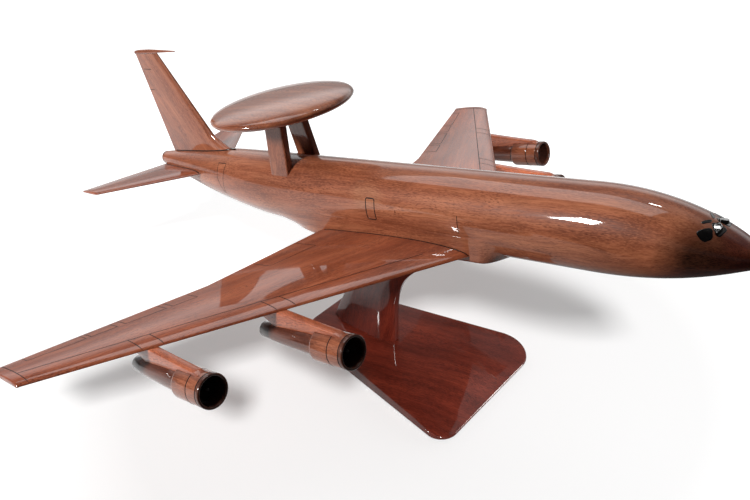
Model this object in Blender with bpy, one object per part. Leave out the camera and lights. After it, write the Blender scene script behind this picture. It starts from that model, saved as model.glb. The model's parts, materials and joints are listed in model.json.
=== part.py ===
"""Desk model of a four-engined radar aircraft, carved in lacquered hardwood, on a wooden stand.

The model sits nose up on two pegs in the stand's column, and the radar dome turns on a screw.
World frame: +X to the nose, +Y to the left wing, +Z up, origin on the desk under the model.
"""
import math

import bmesh
import bpy
from mathutils import Matrix, Vector

# Fits, in metres
GAP = 0.0003                 # glue line or running gap between two pieces
PITCH = math.radians(9.0)    # how far the nose points up on the stand

# Fuselage: stations are measured aft from the nose tip, heights from the fuselage axis
FUSELAGE_LENGTH = 0.431
FUSELAGE_HEIGHT = 0.044
FUSELAGE_WIDTH = 0.041
NOSE_LENGTH = 0.075          # nose tip to full section
NOSE_DROP = 0.005            # nose tip below the axis
NOSE_TIP_RADIUS = 0.004
TAIL_START = 0.293           # where the keel starts to rise
CROWN_START = 0.333          # where the crown starts to fall
TAIL_END_HEIGHT = 0.0096
TAIL_END_RISE = 0.0102       # middle of the tail end above the axis
TAIL_END_WIDTH = 0.0095

# Belly block under the fuselage, which carries the wings and takes the stand pegs
BELLY_FRONT = 0.120
BELLY_REAR = 0.295
BELLY_SPLIT = 0.0125          # flat joint below the axis
BELLY_KEEL = 0.0066          # depth below the wing's underside
BELLY_FLAT = 0.016           # width of the flat that rests on the column
BELLY_MARGIN = 0.004         # square part past the wing roots
STAND_STATION = 0.193        # station over the stand pegs

# Wings: the leading edge is straight, the trailing edge has one kink
WING_ROOT_LEAD = 0.1385      # station of the leading edge at the root
WING_ROOT_CHORD = 0.1107
WING_TIP_SETBACK = 0.1385    # leading edge at the tip, aft of the root's
WING_TIP_CHORD = 0.0310
WING_HALF_SPAN = 0.2115
WING_KINK_SPAN = 0.1000      # kink from the middle plane
WING_KINK_SETBACK = 0.0150   # trailing edge at the kink, aft of the root's
WING_TIP_ROUND = 0.0012
WING_ROOT_THICKNESS = 0.0062
WING_TIP_THICKNESS = 0.0030
EDGE_THICKNESS = 0.0008      # blunt trailing edges
UNDER_SHARE = 0.25           # share of a wing section that lies under its chord

# Tail
FIN_ROOT_LEAD = 0.3488       # station of the straight leading edge at the tongue
FIN_ROOT_CHORD = 0.0672
FIN_TIP_SETBACK = 0.0526
FIN_TIP_CHORD = 0.0271
FIN_FILLET_TOP = 0.0323      # height where the leading edge starts to sweep forward
FIN_FILLET_REACH = 0.0094    # forward sweep where it meets the crown
FIN_ROOT_Z = 0.0120          # bottom of the fin's tongue
FIN_TOP_Z = 0.0912
FIN_ROOT_THICKNESS = 0.0068
FIN_TIP_THICKNESS = 0.0030
PROBE_LENGTH = 0.0500
PROBE_HEIGHT = 0.0026
PROBE_WIDTH = 0.0030
TAILPLANE_ROOT_LEAD = 0.3630
TAILPLANE_ROOT_CHORD = 0.0660
TAILPLANE_TIP_SETBACK = 0.0555
TAILPLANE_TIP_CHORD = 0.0215
TAILPLANE_TONGUE = 0.0040    # inner end of the tongue, from the middle plane
TAILPLANE_HALF_SPAN = 0.0710
TAILPLANE_ROOT_Z = 0.0062
TAILPLANE_TIP_Z = 0.0098
TAILPLANE_ROOT_THICKNESS = 0.0040
TAILPLANE_TIP_THICKNESS = 0.0022

# Radar dome and its two struts
DOME_STATION = 0.2804
DOME_HEIGHT = 0.0555         # rim above the axis
DOME_RADIUS = 0.0458
DOME_CROWN = 0.0052          # rise of the top over the rim
DOME_BELLY = 0.0045          # drop of the underside under the rim
DOME_RIM = 0.0016
DOME_SEAT_RADIUS = 0.0080    # flat turned on the underside
STRUT_STATION = 0.2810
STRUT_CHORD = 0.0165
STRUT_THICKNESS = 0.0052
STRUT_FOOT_Y = 0.0128
STRUT_HEAD_Y = 0.0092
STRUT_TONGUE = 0.0050        # depth let into the fuselage
HEAD_LENGTH = 0.0190         # block across the strut tops
HEAD_WIDTH = 0.0250
HEAD_THICKNESS = 0.0036
WASHER_RADIUS = 0.0055
WASHER_THICKNESS = 0.0008
DOME_SCREW_RADIUS = 0.0016
DOME_SCREW_HEAD_RADIUS = 0.0034
DOME_SCREW_HEAD_HEIGHT = 0.0020
DOME_SCREW_BITE = 0.0052     # length held in the dome

# Engines: each axis from the middle plane, and its intake ahead of the wing's leading edge
ENGINES = (("inner", 0.1015, 0.0473), ("outer", 0.1558, 0.0437))
ENGINE_DROP = 0.0109         # intake axis below the wing's underside
ENGINE_PITCH = math.radians(2.7)
NACELLE_LENGTH = 0.0580
COWL_LENGTH = 0.0230
COWL_RADIUS = 0.0089
LIP_RADIUS = 0.0075          # inside of the intake lip
CORE_RADIUS = 0.0068
CORE_END_RADIUS = 0.0050
INTAKE_DEPTH = 0.0120
INTAKE_WALL = 0.0012         # wood left between the intake and the pylon
PLUG_THICKNESS = 0.0030
SPINNER_LENGTH = 0.0050
SPINNER_RADIUS = 0.0023
NOZZLE_LENGTH = 0.0080
NOZZLE_END_RADIUS = 0.0044
NOZZLE_BORE_RADIUS = 0.0034
NOZZLE_SPIGOT_RADIUS = 0.0025
NOZZLE_SPIGOT_LENGTH = 0.0050
PYLON_THICKNESS = 0.0050
PYLON_FRONT = 0.0050         # start behind the intake lip
PYLON_BED = 0.0038           # underside above the engine axis
PYLON_INLAY = 0.0007         # depth let into the cowl over the intake
PYLON_REACH = 0.0200         # length under the wing
PIN_RADIUS = 0.0009
PIN_LENGTH = 0.0060

# Dowels
DOWEL_RADIUS = 0.0016
WING_DOWEL_LENGTH = 0.0240
WING_DOWEL_STATIONS = (("front", 0.159), ("rear", 0.195))
BELLY_DOWEL_LENGTH = 0.0160
BELLY_DOWEL_STATIONS = (("front", 0.141), ("rear", 0.265))

# Stand
FELT_THICKNESS = 0.0010
BASE_FRONT = 0.0662          # front edge ahead of the origin
BASE_LENGTH = 0.1376
BASE_FRONT_WIDTH = 0.1090
BASE_REAR_WIDTH = 0.0512
BASE_CORNER_RADII = (0.0180, 0.0150, 0.0150, 0.0105)  # left front, left rear, right rear, right front
BASE_THICKNESS = 0.0069      # under the airframe origin
BASE_SLOPE = math.radians(2.3)  # the top falls towards the front
BASE_BEVEL = 0.0237          # length of the front bevel
BASE_FRONT_EDGE = 0.0010     # upright edge left under the front bevel
FELT_INSET = 0.0020
AIRFRAME_X = 0.0046          # airframe origin ahead of the world origin
COLUMN_HEIGHT = 0.0821       # base top to belly, under the airframe origin
COLUMN_FOOT_FRONT = -0.0100
COLUMN_FOOT_REAR = -0.0627
COLUMN_LEAN = 0.0050         # forward lean of the front edge
COLUMN_SWEEP = 0.0620        # forward flare of the front edge at the top
COLUMN_REAR_LEAN = 0.0360
COLUMN_THICKNESS = 0.0130
COLUMN_EDGE = 0.0050         # thickness left between the front chamfers
COLUMN_CHAMFER = 0.0090
PEG_RADIUS = 0.0025
PEG_SPACING = 0.0280
PEG_MIDDLE = -0.0080         # middle of the two pegs ahead of the airframe origin
PEG_UP = 0.0105
PEG_DOWN = 0.0150
SCREW_RADIUS = 0.0018
SCREW_HEAD_RADIUS = 0.0036
SCREW_HEAD_HEIGHT = 0.0030
SCREW_LENGTH = 0.0240

for old in list(bpy.data.objects):
    bpy.data.objects.remove(old)


# Shared tools
def finish(name, colour, roughness):
    """A plain material with one colour and one gloss."""
    material = bpy.data.materials.new(name)
    material.use_nodes = True
    shader = material.node_tree.nodes["Principled BSDF"]
    shader.inputs["Base Color"].default_value = (*colour, 1.0)
    shader.inputs["Roughness"].default_value = roughness
    return material


def place(name, builder, material=None, parent=None):
    """Turn a bmesh into an object with its faces outward."""
    bmesh.ops.recalc_face_normals(builder, faces=builder.faces)
    mesh = bpy.data.meshes.new(name)
    builder.to_mesh(mesh)
    builder.free()
    piece = bpy.data.objects.new(name, mesh)
    bpy.context.collection.objects.link(piece)
    piece.parent = parent
    if material:
        mesh.materials.append(material)
    return piece


def loft(name, rings, material=None, parent=None):
    """Skin a closed solid over rings with the same number of points."""
    builder = bmesh.new()
    loops = [[builder.verts.new(point) for point in ring] for ring in rings]
    count = len(loops[0])
    for lower, upper in zip(loops, loops[1:]):
        for i in range(count):
            j = (i + 1) % count
            builder.faces.new((lower[i], lower[j], upper[j], upper[i]))
    builder.faces.new(loops[0])
    builder.faces.new(loops[-1])
    return place(name, builder, material, parent)


def turn(name, profile, frame, material=None, parent=None, sides=32, ring=False):
    """Turn a profile of (distance along, radius) about the X axis of a frame."""
    angles = [2 * math.pi * i / sides for i in range(sides)]
    rings = [[frame @ Vector((along, radius * math.cos(a), radius * math.sin(a))) for a in angles]
             for along, radius in profile]
    if not ring:
        return loft(name, rings, material, parent)
    builder = bmesh.new()
    loops = [[builder.verts.new(point) for point in points] for points in rings]
    for lower, upper in zip(loops, loops[1:] + loops[:1]):
        for i in range(sides):
            j = (i + 1) % sides
            builder.faces.new((lower[i], lower[j], upper[j], upper[i]))
    return place(name, builder, material, parent)


def slab(name, outline, low, high, material=None, parent=None):
    """Extrude a side outline of (x, z) points from one y to another."""
    return loft(name, [[Vector((x, y, z)) for x, z in outline] for y in (low, high)], material, parent)


def cut(piece, cutter):
    """Take a hidden cutter out of a piece."""
    cutter.hide_render = True
    cutter.display_type = "WIRE"
    step = piece.modifiers.new(cutter.name, "BOOLEAN")
    step.operation = "DIFFERENCE"
    step.solver = "EXACT"
    step.object = cutter


def along(start, direction):
    """Frame at a point with its X axis along a direction."""
    turned = Vector(direction).to_track_quat("X", "Z").to_matrix().to_4x4()
    return Matrix.Translation(start) @ turned


def rod(name, start, direction, radius, length, material=None, parent=None, sides=20):
    """Plain round rod."""
    return turn(name, ((0, radius), (length, radius)), along(start, direction), material, parent, sides)


def ahead(station):
    """Distance ahead of the airframe origin for a station aft of the nose."""
    return STAND_STATION - station


def mix(a, b, share):
    """Value part of the way from a to b."""
    return a + (b - a) * share


def section(chord, thickness, under, grow=0.0, points=11):
    """Blade section: (distance aft, height) pairs around from the trailing edge over the top."""
    upper, lower = [], []
    for i in range(points):
        u = (1 - math.cos(math.pi * i / (points - 1))) / 2
        full = 5 * (0.5938 * math.sqrt(u) - 0.2520 * u - 0.7032 * u**2 + 0.5686 * u**3 - 0.2072 * u**4)
        edge = EDGE_THICKNESS / 2 * u
        x = mix(-grow, chord + grow, u)
        upper.append((x, full * thickness * (1 - under) + edge + grow))
        lower.append((x, -full * thickness * under - edge - grow))
    if grow == 0:
        lower = lower[1:]
    return upper[::-1] + lower


lacquer = finish("lacquered_wood", (0.32, 0.10, 0.045), 0.15)
dark_lacquer = finish("dark_lacquered_wood", (0.15, 0.035, 0.02), 0.15)
bare_wood = finish("dowel_wood", (0.62, 0.43, 0.25), 0.6)
black = finish("black_paint", (0.01, 0.01, 0.01), 0.25)
brass = finish("brass", (0.72, 0.52, 0.22), 0.3)
steel = finish("steel", (0.55, 0.55, 0.56), 0.35)
felt = finish("felt", (0.03, 0.09, 0.05), 0.95)

# Levels that follow from the sizes above
WING_Z = -(BELLY_SPLIT + GAP + WING_ROOT_THICKNESS * (1 - UNDER_SHARE) + EDGE_THICKNESS)
WING_UNDER_Z = WING_Z - WING_ROOT_THICKNESS * UNDER_SHARE
BELLY_Z = WING_UNDER_Z - BELLY_KEEL
ENGINE_Z = WING_UNDER_Z - ENGINE_DROP
BASE_Z = FELT_THICKNESS + GAP
BASE_TOP_Z = BASE_Z + BASE_THICKNESS
FOOT_Z = BASE_TOP_Z + GAP
BELLY_SIDE = FUSELAGE_WIDTH / 2 * math.sqrt(1 - (2 * BELLY_SPLIT / FUSELAGE_HEIGHT) ** 2)
WING_ROOT_Y = BELLY_SIDE + GAP

# The airframe hangs on an empty at the fuselage axis over the pegs, pitched nose up
ORIGIN_Z = FOOT_Z + COLUMN_HEIGHT + GAP - BELLY_Z / math.cos(PITCH)
airframe = bpy.data.objects.new("airframe", None)
airframe.location = (AIRFRAME_X, 0, ORIGIN_Z)
airframe.rotation_euler = (0, -PITCH, 0)
bpy.context.collection.objects.link(airframe)


# Fuselage
def fuselage_section(station):
    """Crown height, keel height and half width of the fuselage at a station."""
    half = FUSELAGE_HEIGHT / 2
    nose = min(station / NOSE_LENGTH, 1)
    tip = NOSE_TIP_RADIUS * math.sqrt(1 - (1 - min(station / NOSE_TIP_RADIUS, 1)) ** 2)
    swell = (half + NOSE_DROP) * math.sin(math.pi / 2 * nose**0.745)
    sag = (half - NOSE_DROP) * math.sin(math.pi / 2 * nose**0.77)
    crown = (swell**3 + tip**3) ** (1 / 3) - NOSE_DROP
    keel = -((sag**3 + tip**3) ** (1 / 3)) - NOSE_DROP
    width = FUSELAGE_WIDTH / 2 * math.sin(math.pi / 2 * nose**0.52)
    rear = max(0, (station - TAIL_START) / (FUSELAGE_LENGTH - TAIL_START)) ** 1.5
    fall = max(0, (station - CROWN_START) / (FUSELAGE_LENGTH - CROWN_START)) ** 1.6
    crown = mix(crown, TAIL_END_RISE + TAIL_END_HEIGHT / 2, fall)
    keel = mix(keel, TAIL_END_RISE - TAIL_END_HEIGHT / 2, rear)
    width = mix(width, TAIL_END_WIDTH / 2, rear)
    return crown, keel, width


def fuselage_ring(station, shrink=1.0, aft=0.0, sides=32):
    """Oval ring of the fuselage."""
    crown, keel, width = fuselage_section(station)
    middle, half = (crown + keel) / 2, (crown - keel) / 2 * shrink
    return [Vector((ahead(station + aft), width * shrink * math.cos(a), middle + half * math.sin(a)))
            for a in (2 * math.pi * i / sides for i in range(sides))]


nose_stations = [NOSE_LENGTH * (k / 14) ** 2 for k in range(1, 15)]
barrel_stations = [mix(NOSE_LENGTH, TAIL_START, k / 3) for k in range(1, 4)]
tail_stations = [mix(TAIL_START, FUSELAGE_LENGTH, k / 11) for k in range(1, 12)]
rings = [fuselage_ring(s) for s in nose_stations + barrel_stations + tail_stations]
rings.append(fuselage_ring(FUSELAGE_LENGTH, 0.86, 0.0012))
rings.append(fuselage_ring(FUSELAGE_LENGTH, 0.50, 0.0020))
fuselage = loft("fuselage", rings, lacquer, airframe)
notch = ((ahead(BELLY_FRONT) + GAP, -BELLY_SPLIT), (ahead(BELLY_REAR) - GAP, -BELLY_SPLIT),
         (ahead(BELLY_REAR) - GAP, -FUSELAGE_HEIGHT), (ahead(BELLY_FRONT) + GAP, -FUSELAGE_HEIGHT))
cut(fuselage, slab("belly_notch", notch, -FUSELAGE_WIDTH, FUSELAGE_WIDTH, None, airframe))


# Belly block: follows the fuselage at its ends and squares up between the wing roots
BLOCK_FRONT = WING_ROOT_LEAD - BELLY_MARGIN
BLOCK_REAR = WING_ROOT_LEAD + WING_ROOT_CHORD + BELLY_MARGIN


def belly_ring(station):
    """Ring of the belly block from its left top edge under the keel to its right top edge."""
    fore = min(1, (station - BELLY_FRONT) / (BLOCK_FRONT - BELLY_FRONT))
    back = min(1, (BELLY_REAR - station) / (BELLY_REAR - BLOCK_REAR))
    share = math.sin(math.pi / 2 * max(0, min(fore, back)))
    top = -BELLY_SPLIT - GAP
    wall = WING_UNDER_Z - EDGE_THICKNESS
    flat = BELLY_FLAT / 2
    steps = 8
    start = math.asin(2 * BELLY_SPLIT / FUSELAGE_HEIGHT)
    half = []
    for i in range(steps + 1):
        turn_angle = mix(start, math.pi / 2, i / steps)
        oval = (FUSELAGE_WIDTH / 2 * math.cos(turn_angle), -FUSELAGE_HEIGHT / 2 * math.sin(turn_angle))
        if i == 0:
            oval = (BELLY_SIDE, top)
            block = (BELLY_SIDE, top)
        elif i == steps:
            block = (0, BELLY_Z)
        else:
            bend = math.pi / 2 * (i - 1) / (steps - 2)
            block = (flat + (BELLY_SIDE - flat) * math.cos(bend), wall - (wall - BELLY_Z) * math.sin(bend))
        half.append((mix(oval[0], block[0], share), mix(oval[1], block[1], share)))
    right = [(-y, z) for y, z in half[-2::-1]]
    return [Vector((ahead(station), y, z)) for y, z in half + right]


front_stations = [mix(BELLY_FRONT, BLOCK_FRONT, k / 5) for k in range(6)]
rear_stations = [mix(BLOCK_REAR, BELLY_REAR, k / 6) for k in range(7)]
belly_block = loft("belly_block", [belly_ring(s) for s in front_stations + rear_stations], lacquer, airframe)

for place_name, station in BELLY_DOWEL_STATIONS:
    foot = Vector((ahead(station), 0, -BELLY_SPLIT - BELLY_DOWEL_LENGTH / 2))
    up = Vector((0, 0, 1))
    rod("belly_dowel_" + place_name, foot, up, DOWEL_RADIUS, BELLY_DOWEL_LENGTH, bare_wood, airframe)
    hole = rod("belly_hole_" + place_name, foot - up * GAP, up, DOWEL_RADIUS + GAP,
               BELLY_DOWEL_LENGTH + 2 * GAP, None, airframe)
    cut(fuselage, hole)
    cut(belly_block, hole)


# Wings
def wing_edges(y):
    """Leading and trailing edge stations of the wing at a distance from the middle plane."""
    out = (y - WING_ROOT_Y) / (WING_HALF_SPAN - WING_ROOT_Y)
    lead = WING_ROOT_LEAD + WING_TIP_SETBACK * out
    root_trail = WING_ROOT_LEAD + WING_ROOT_CHORD
    kink_trail = root_trail + WING_KINK_SETBACK
    tip_trail = WING_ROOT_LEAD + WING_TIP_SETBACK + WING_TIP_CHORD
    if y < WING_KINK_SPAN:
        trail = mix(root_trail, kink_trail, (y - WING_ROOT_Y) / (WING_KINK_SPAN - WING_ROOT_Y))
    else:
        trail = mix(kink_trail, tip_trail, (y - WING_KINK_SPAN) / (WING_HALF_SPAN - WING_KINK_SPAN))
    return lead, trail


def wing_ring(y, side, grow=0.0, trim=0.0):
    """Section of the wing at a distance from the middle plane."""
    lead, trail = wing_edges(y)
    thin = (WING_ROOT_CHORD - trail + lead) / (WING_ROOT_CHORD - WING_TIP_CHORD)
    thickness = mix(WING_ROOT_THICKNESS, WING_TIP_THICKNESS, thin) * (1 - trim * 6)
    lead += trim * (trail - lead)
    outline = section(trail - lead, thickness, UNDER_SHARE, grow)
    return [Vector((ahead(lead + x), side * (y + trim * 10 * WING_TIP_ROUND), WING_Z + z)) for x, z in outline]


def wing_solid(name, side, grow=0.0, material=None):
    """Whole wing from root to rounded tip."""
    spans = [WING_ROOT_Y, mix(WING_ROOT_Y, WING_KINK_SPAN, 0.5), WING_KINK_SPAN,
             mix(WING_KINK_SPAN, WING_HALF_SPAN, 0.5), WING_HALF_SPAN - WING_TIP_ROUND]
    rings = [wing_ring(y, side, grow) for y in spans]
    rings.append(wing_ring(WING_HALF_SPAN - WING_TIP_ROUND, side, grow, 0.1))
    return loft(name, rings, material, airframe)


SIDES = (("left", 1), ("right", -1))
for side_name, side in SIDES:
    wing = wing_solid("wing_" + side_name, side, 0.0, lacquer)
    for place_name, station in WING_DOWEL_STATIONS:
        outward = Vector((0, side, 0))
        middle = WING_Z + WING_ROOT_THICKNESS * (0.5 - UNDER_SHARE)
        inner = Vector((ahead(station), side * (WING_ROOT_Y - WING_DOWEL_LENGTH / 2), middle))
        label = side_name + "_" + place_name
        rod("wing_dowel_" + label, inner, outward, DOWEL_RADIUS, WING_DOWEL_LENGTH, bare_wood, airframe)
        hole = rod("wing_hole_" + label, inner - outward * GAP, outward, DOWEL_RADIUS + GAP,
                   WING_DOWEL_LENGTH + 2 * GAP, None, airframe)
        cut(wing, hole)
        cut(belly_block, hole)


# Fin, with a probe along its tip
FIN_TIP_TRAIL = FIN_ROOT_LEAD + FIN_TIP_SETBACK + FIN_TIP_CHORD


def fin_ring(z, grow=0.0):
    """Section of the fin at a height: its leading edge sweeps forward in a fillet over the crown."""
    share = (z - FIN_ROOT_Z) / (FIN_TOP_Z - FIN_ROOT_Z)
    depth = max(0, FIN_FILLET_TOP - z) / (FIN_FILLET_TOP - FUSELAGE_HEIGHT / 2)
    trail = mix(FIN_ROOT_LEAD + FIN_ROOT_CHORD, FIN_TIP_TRAIL, share)
    lead = FIN_ROOT_LEAD + FIN_TIP_SETBACK * share - FIN_FILLET_REACH * min(1, depth) ** 1.33
    thickness = mix(FIN_ROOT_THICKNESS, FIN_TIP_THICKNESS, share)
    return [Vector((ahead(lead + x), y, z)) for x, y in section(trail - lead, thickness, 0.5, grow)]


def fin_solid(name, grow=0.0, material=None):
    """Upright blade from its tongue to its flat tip."""
    crown = FUSELAGE_HEIGHT / 2
    heights = [FIN_ROOT_Z - grow]
    heights += [mix(crown, FIN_FILLET_TOP, k / 4) for k in range(5)]
    heights += [mix(FIN_FILLET_TOP, FIN_TOP_Z, 0.5), FIN_TOP_Z]
    rings = [fin_ring(z, grow) for z in heights]
    return loft(name, rings, material, airframe)


fin_solid("fin", 0.0, lacquer)
cut(fuselage, fin_solid("fin_slot", GAP))
probe_rings = []
for share, size in ((0.0, 0.25), (0.25, 0.55), (0.5, 0.85), (0.85, 1.0), (1.0, 0.8)):
    x = ahead(FIN_TIP_TRAIL - PROBE_LENGTH * (1 - share))
    half_width = PROBE_WIDTH / 2 * size
    low = FIN_TOP_Z + GAP
    high = low + PROBE_HEIGHT * size
    probe_rings.append([Vector((x, y, z)) for y, z in (
        (half_width, low), (half_width, mix(low, high, 0.6)), (half_width * 0.5, high),
        (-half_width * 0.5, high), (-half_width, mix(low, high, 0.6)), (-half_width, low))])
loft("fin_probe", probe_rings, lacquer, airframe)


# Tailplanes
def tailplane_solid(name, side, grow=0.0, material=None):
    """Flat blade from its tongue in the fuselage to its tip."""
    rings = []
    for share in (0.0, 0.5, 1.0):
        lead = TAILPLANE_ROOT_LEAD + TAILPLANE_TIP_SETBACK * share
        chord = mix(TAILPLANE_ROOT_CHORD, TAILPLANE_TIP_CHORD, share)
        thickness = mix(TAILPLANE_ROOT_THICKNESS, TAILPLANE_TIP_THICKNESS, share)
        y = side * mix(TAILPLANE_TONGUE - grow, TAILPLANE_HALF_SPAN, share)
        z = mix(TAILPLANE_ROOT_Z, TAILPLANE_TIP_Z, share)
        rings.append([Vector((ahead(lead + x), y, z + h)) for x, h in section(chord, thickness, 0.5, grow)])
    return loft(name, rings, material, airframe)


for side_name, side in SIDES:
    tailplane_solid("tailplane_" + side_name, side, 0.0, lacquer)
    cut(fuselage, tailplane_solid("tailplane_slot_" + side_name, side, GAP))

# Dome stack: struts, head block, washer, dome and the screw it turns on
DOME_UNDER_Z = DOME_HEIGHT - DOME_RIM / 2 - DOME_BELLY
WASHER_Z = DOME_UNDER_Z - GAP - WASHER_THICKNESS
HEAD_Z = WASHER_Z - GAP - HEAD_THICKNESS
STRUT_TOP_Z = HEAD_Z - GAP
dome_x = ahead(DOME_STATION)


def strut_solid(name, side, grow=0.0, material=None):
    """Leaning strut with rounded edges, from its tongue to the head block."""
    foot_z = FUSELAGE_HEIGHT / 2 * math.sqrt(1 - (2 * STRUT_FOOT_Y / FUSELAGE_WIDTH) ** 2)
    lean = (STRUT_HEAD_Y - STRUT_FOOT_Y) / (STRUT_TOP_Z - foot_z)
    rings = []
    for z in (foot_z - STRUT_TONGUE - grow, STRUT_TOP_Z):
        middle = STRUT_FOOT_Y + lean * (z - foot_z)
        ring = []
        for i in range(20):
            a = 2 * math.pi * i / 20
            x = math.copysign(abs(math.cos(a)) ** 0.4, math.cos(a)) * (STRUT_CHORD / 2 + grow)
            y = math.copysign(abs(math.sin(a)) ** 0.4, math.sin(a)) * (STRUT_THICKNESS / 2 + grow)
            ring.append(Vector((ahead(STRUT_STATION) + x, side * (middle + y), z)))
        rings.append(ring)
    return loft(name, rings, material, airframe)


for side_name, side in SIDES:
    strut_solid("dome_strut_" + side_name, side, 0.0, lacquer)
    cut(fuselage, strut_solid("strut_slot_" + side_name, side, GAP))

head_ring = []
for i in range(32):
    a = 2 * math.pi * i / 32
    head_ring.append((math.copysign(abs(math.cos(a)) ** 0.5, math.cos(a)) * HEAD_LENGTH / 2,
                      math.copysign(abs(math.sin(a)) ** 0.5, math.sin(a)) * HEAD_WIDTH / 2))
strut_head = loft("strut_head", [[Vector((dome_x + x, y, z)) for x, y in head_ring]
                                 for z in (HEAD_Z, HEAD_Z + HEAD_THICKNESS)], lacquer, airframe)
upright = Vector((0, 0, 1))
cut(strut_head, rod("head_bore", (dome_x, 0, HEAD_Z - GAP), upright, DOME_SCREW_RADIUS + GAP,
                    HEAD_THICKNESS + 2 * GAP, None, airframe, 24))
washer_frame = along((dome_x, 0, WASHER_Z), upright)
washer_bore = DOME_SCREW_RADIUS + GAP
turn("dome_washer", ((0, washer_bore), (0, WASHER_RADIUS), (WASHER_THICKNESS, WASHER_RADIUS),
                     (WASHER_THICKNESS, washer_bore)), washer_frame, brass, airframe, 32, True)

dome_axis = bpy.data.objects.new("dome_axis", None)
dome_axis.parent = airframe
dome_axis.location = (dome_x, 0, DOME_HEIGHT)
bpy.context.collection.objects.link(dome_axis)
dome_frame = along((0, 0, 0), upright)
dome_profile = [(DOME_SCREW_BITE + GAP - DOME_RIM / 2 - DOME_BELLY, DOME_SCREW_RADIUS + GAP),
                (-DOME_RIM / 2 - DOME_BELLY, DOME_SCREW_RADIUS + GAP),
                (-DOME_RIM / 2 - DOME_BELLY, DOME_SEAT_RADIUS)]
for k in range(1, 7):
    radius = mix(DOME_SEAT_RADIUS, DOME_RADIUS, k / 6)
    fill = math.sqrt(max(0, 1 - (k / 6) ** 2.2))
    dome_profile.append((-DOME_RIM / 2 - DOME_BELLY * fill, radius))
for k in range(7, -1, -1):
    fill = math.sqrt(max(0, 1 - (k / 7) ** 2.2))
    dome_profile.append((DOME_RIM / 2 + DOME_CROWN * fill, max(DOME_RADIUS * k / 7, 0.0005)))
turn("radar_dome", dome_profile, dome_frame, lacquer, dome_axis, 40)
screw_low = HEAD_Z - GAP - DOME_HEIGHT
screw_top = DOME_UNDER_Z + DOME_SCREW_BITE - DOME_HEIGHT
screw_profile = ((screw_low - DOME_SCREW_HEAD_HEIGHT, DOME_SCREW_HEAD_RADIUS * 0.5),
                 (screw_low - DOME_SCREW_HEAD_HEIGHT * 0.6, DOME_SCREW_HEAD_RADIUS * 0.9),
                 (screw_low, DOME_SCREW_HEAD_RADIUS), (screw_low, DOME_SCREW_RADIUS),
                 (screw_top, DOME_SCREW_RADIUS))
turn("dome_screw", screw_profile, dome_frame, brass, dome_axis, 20)


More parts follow.
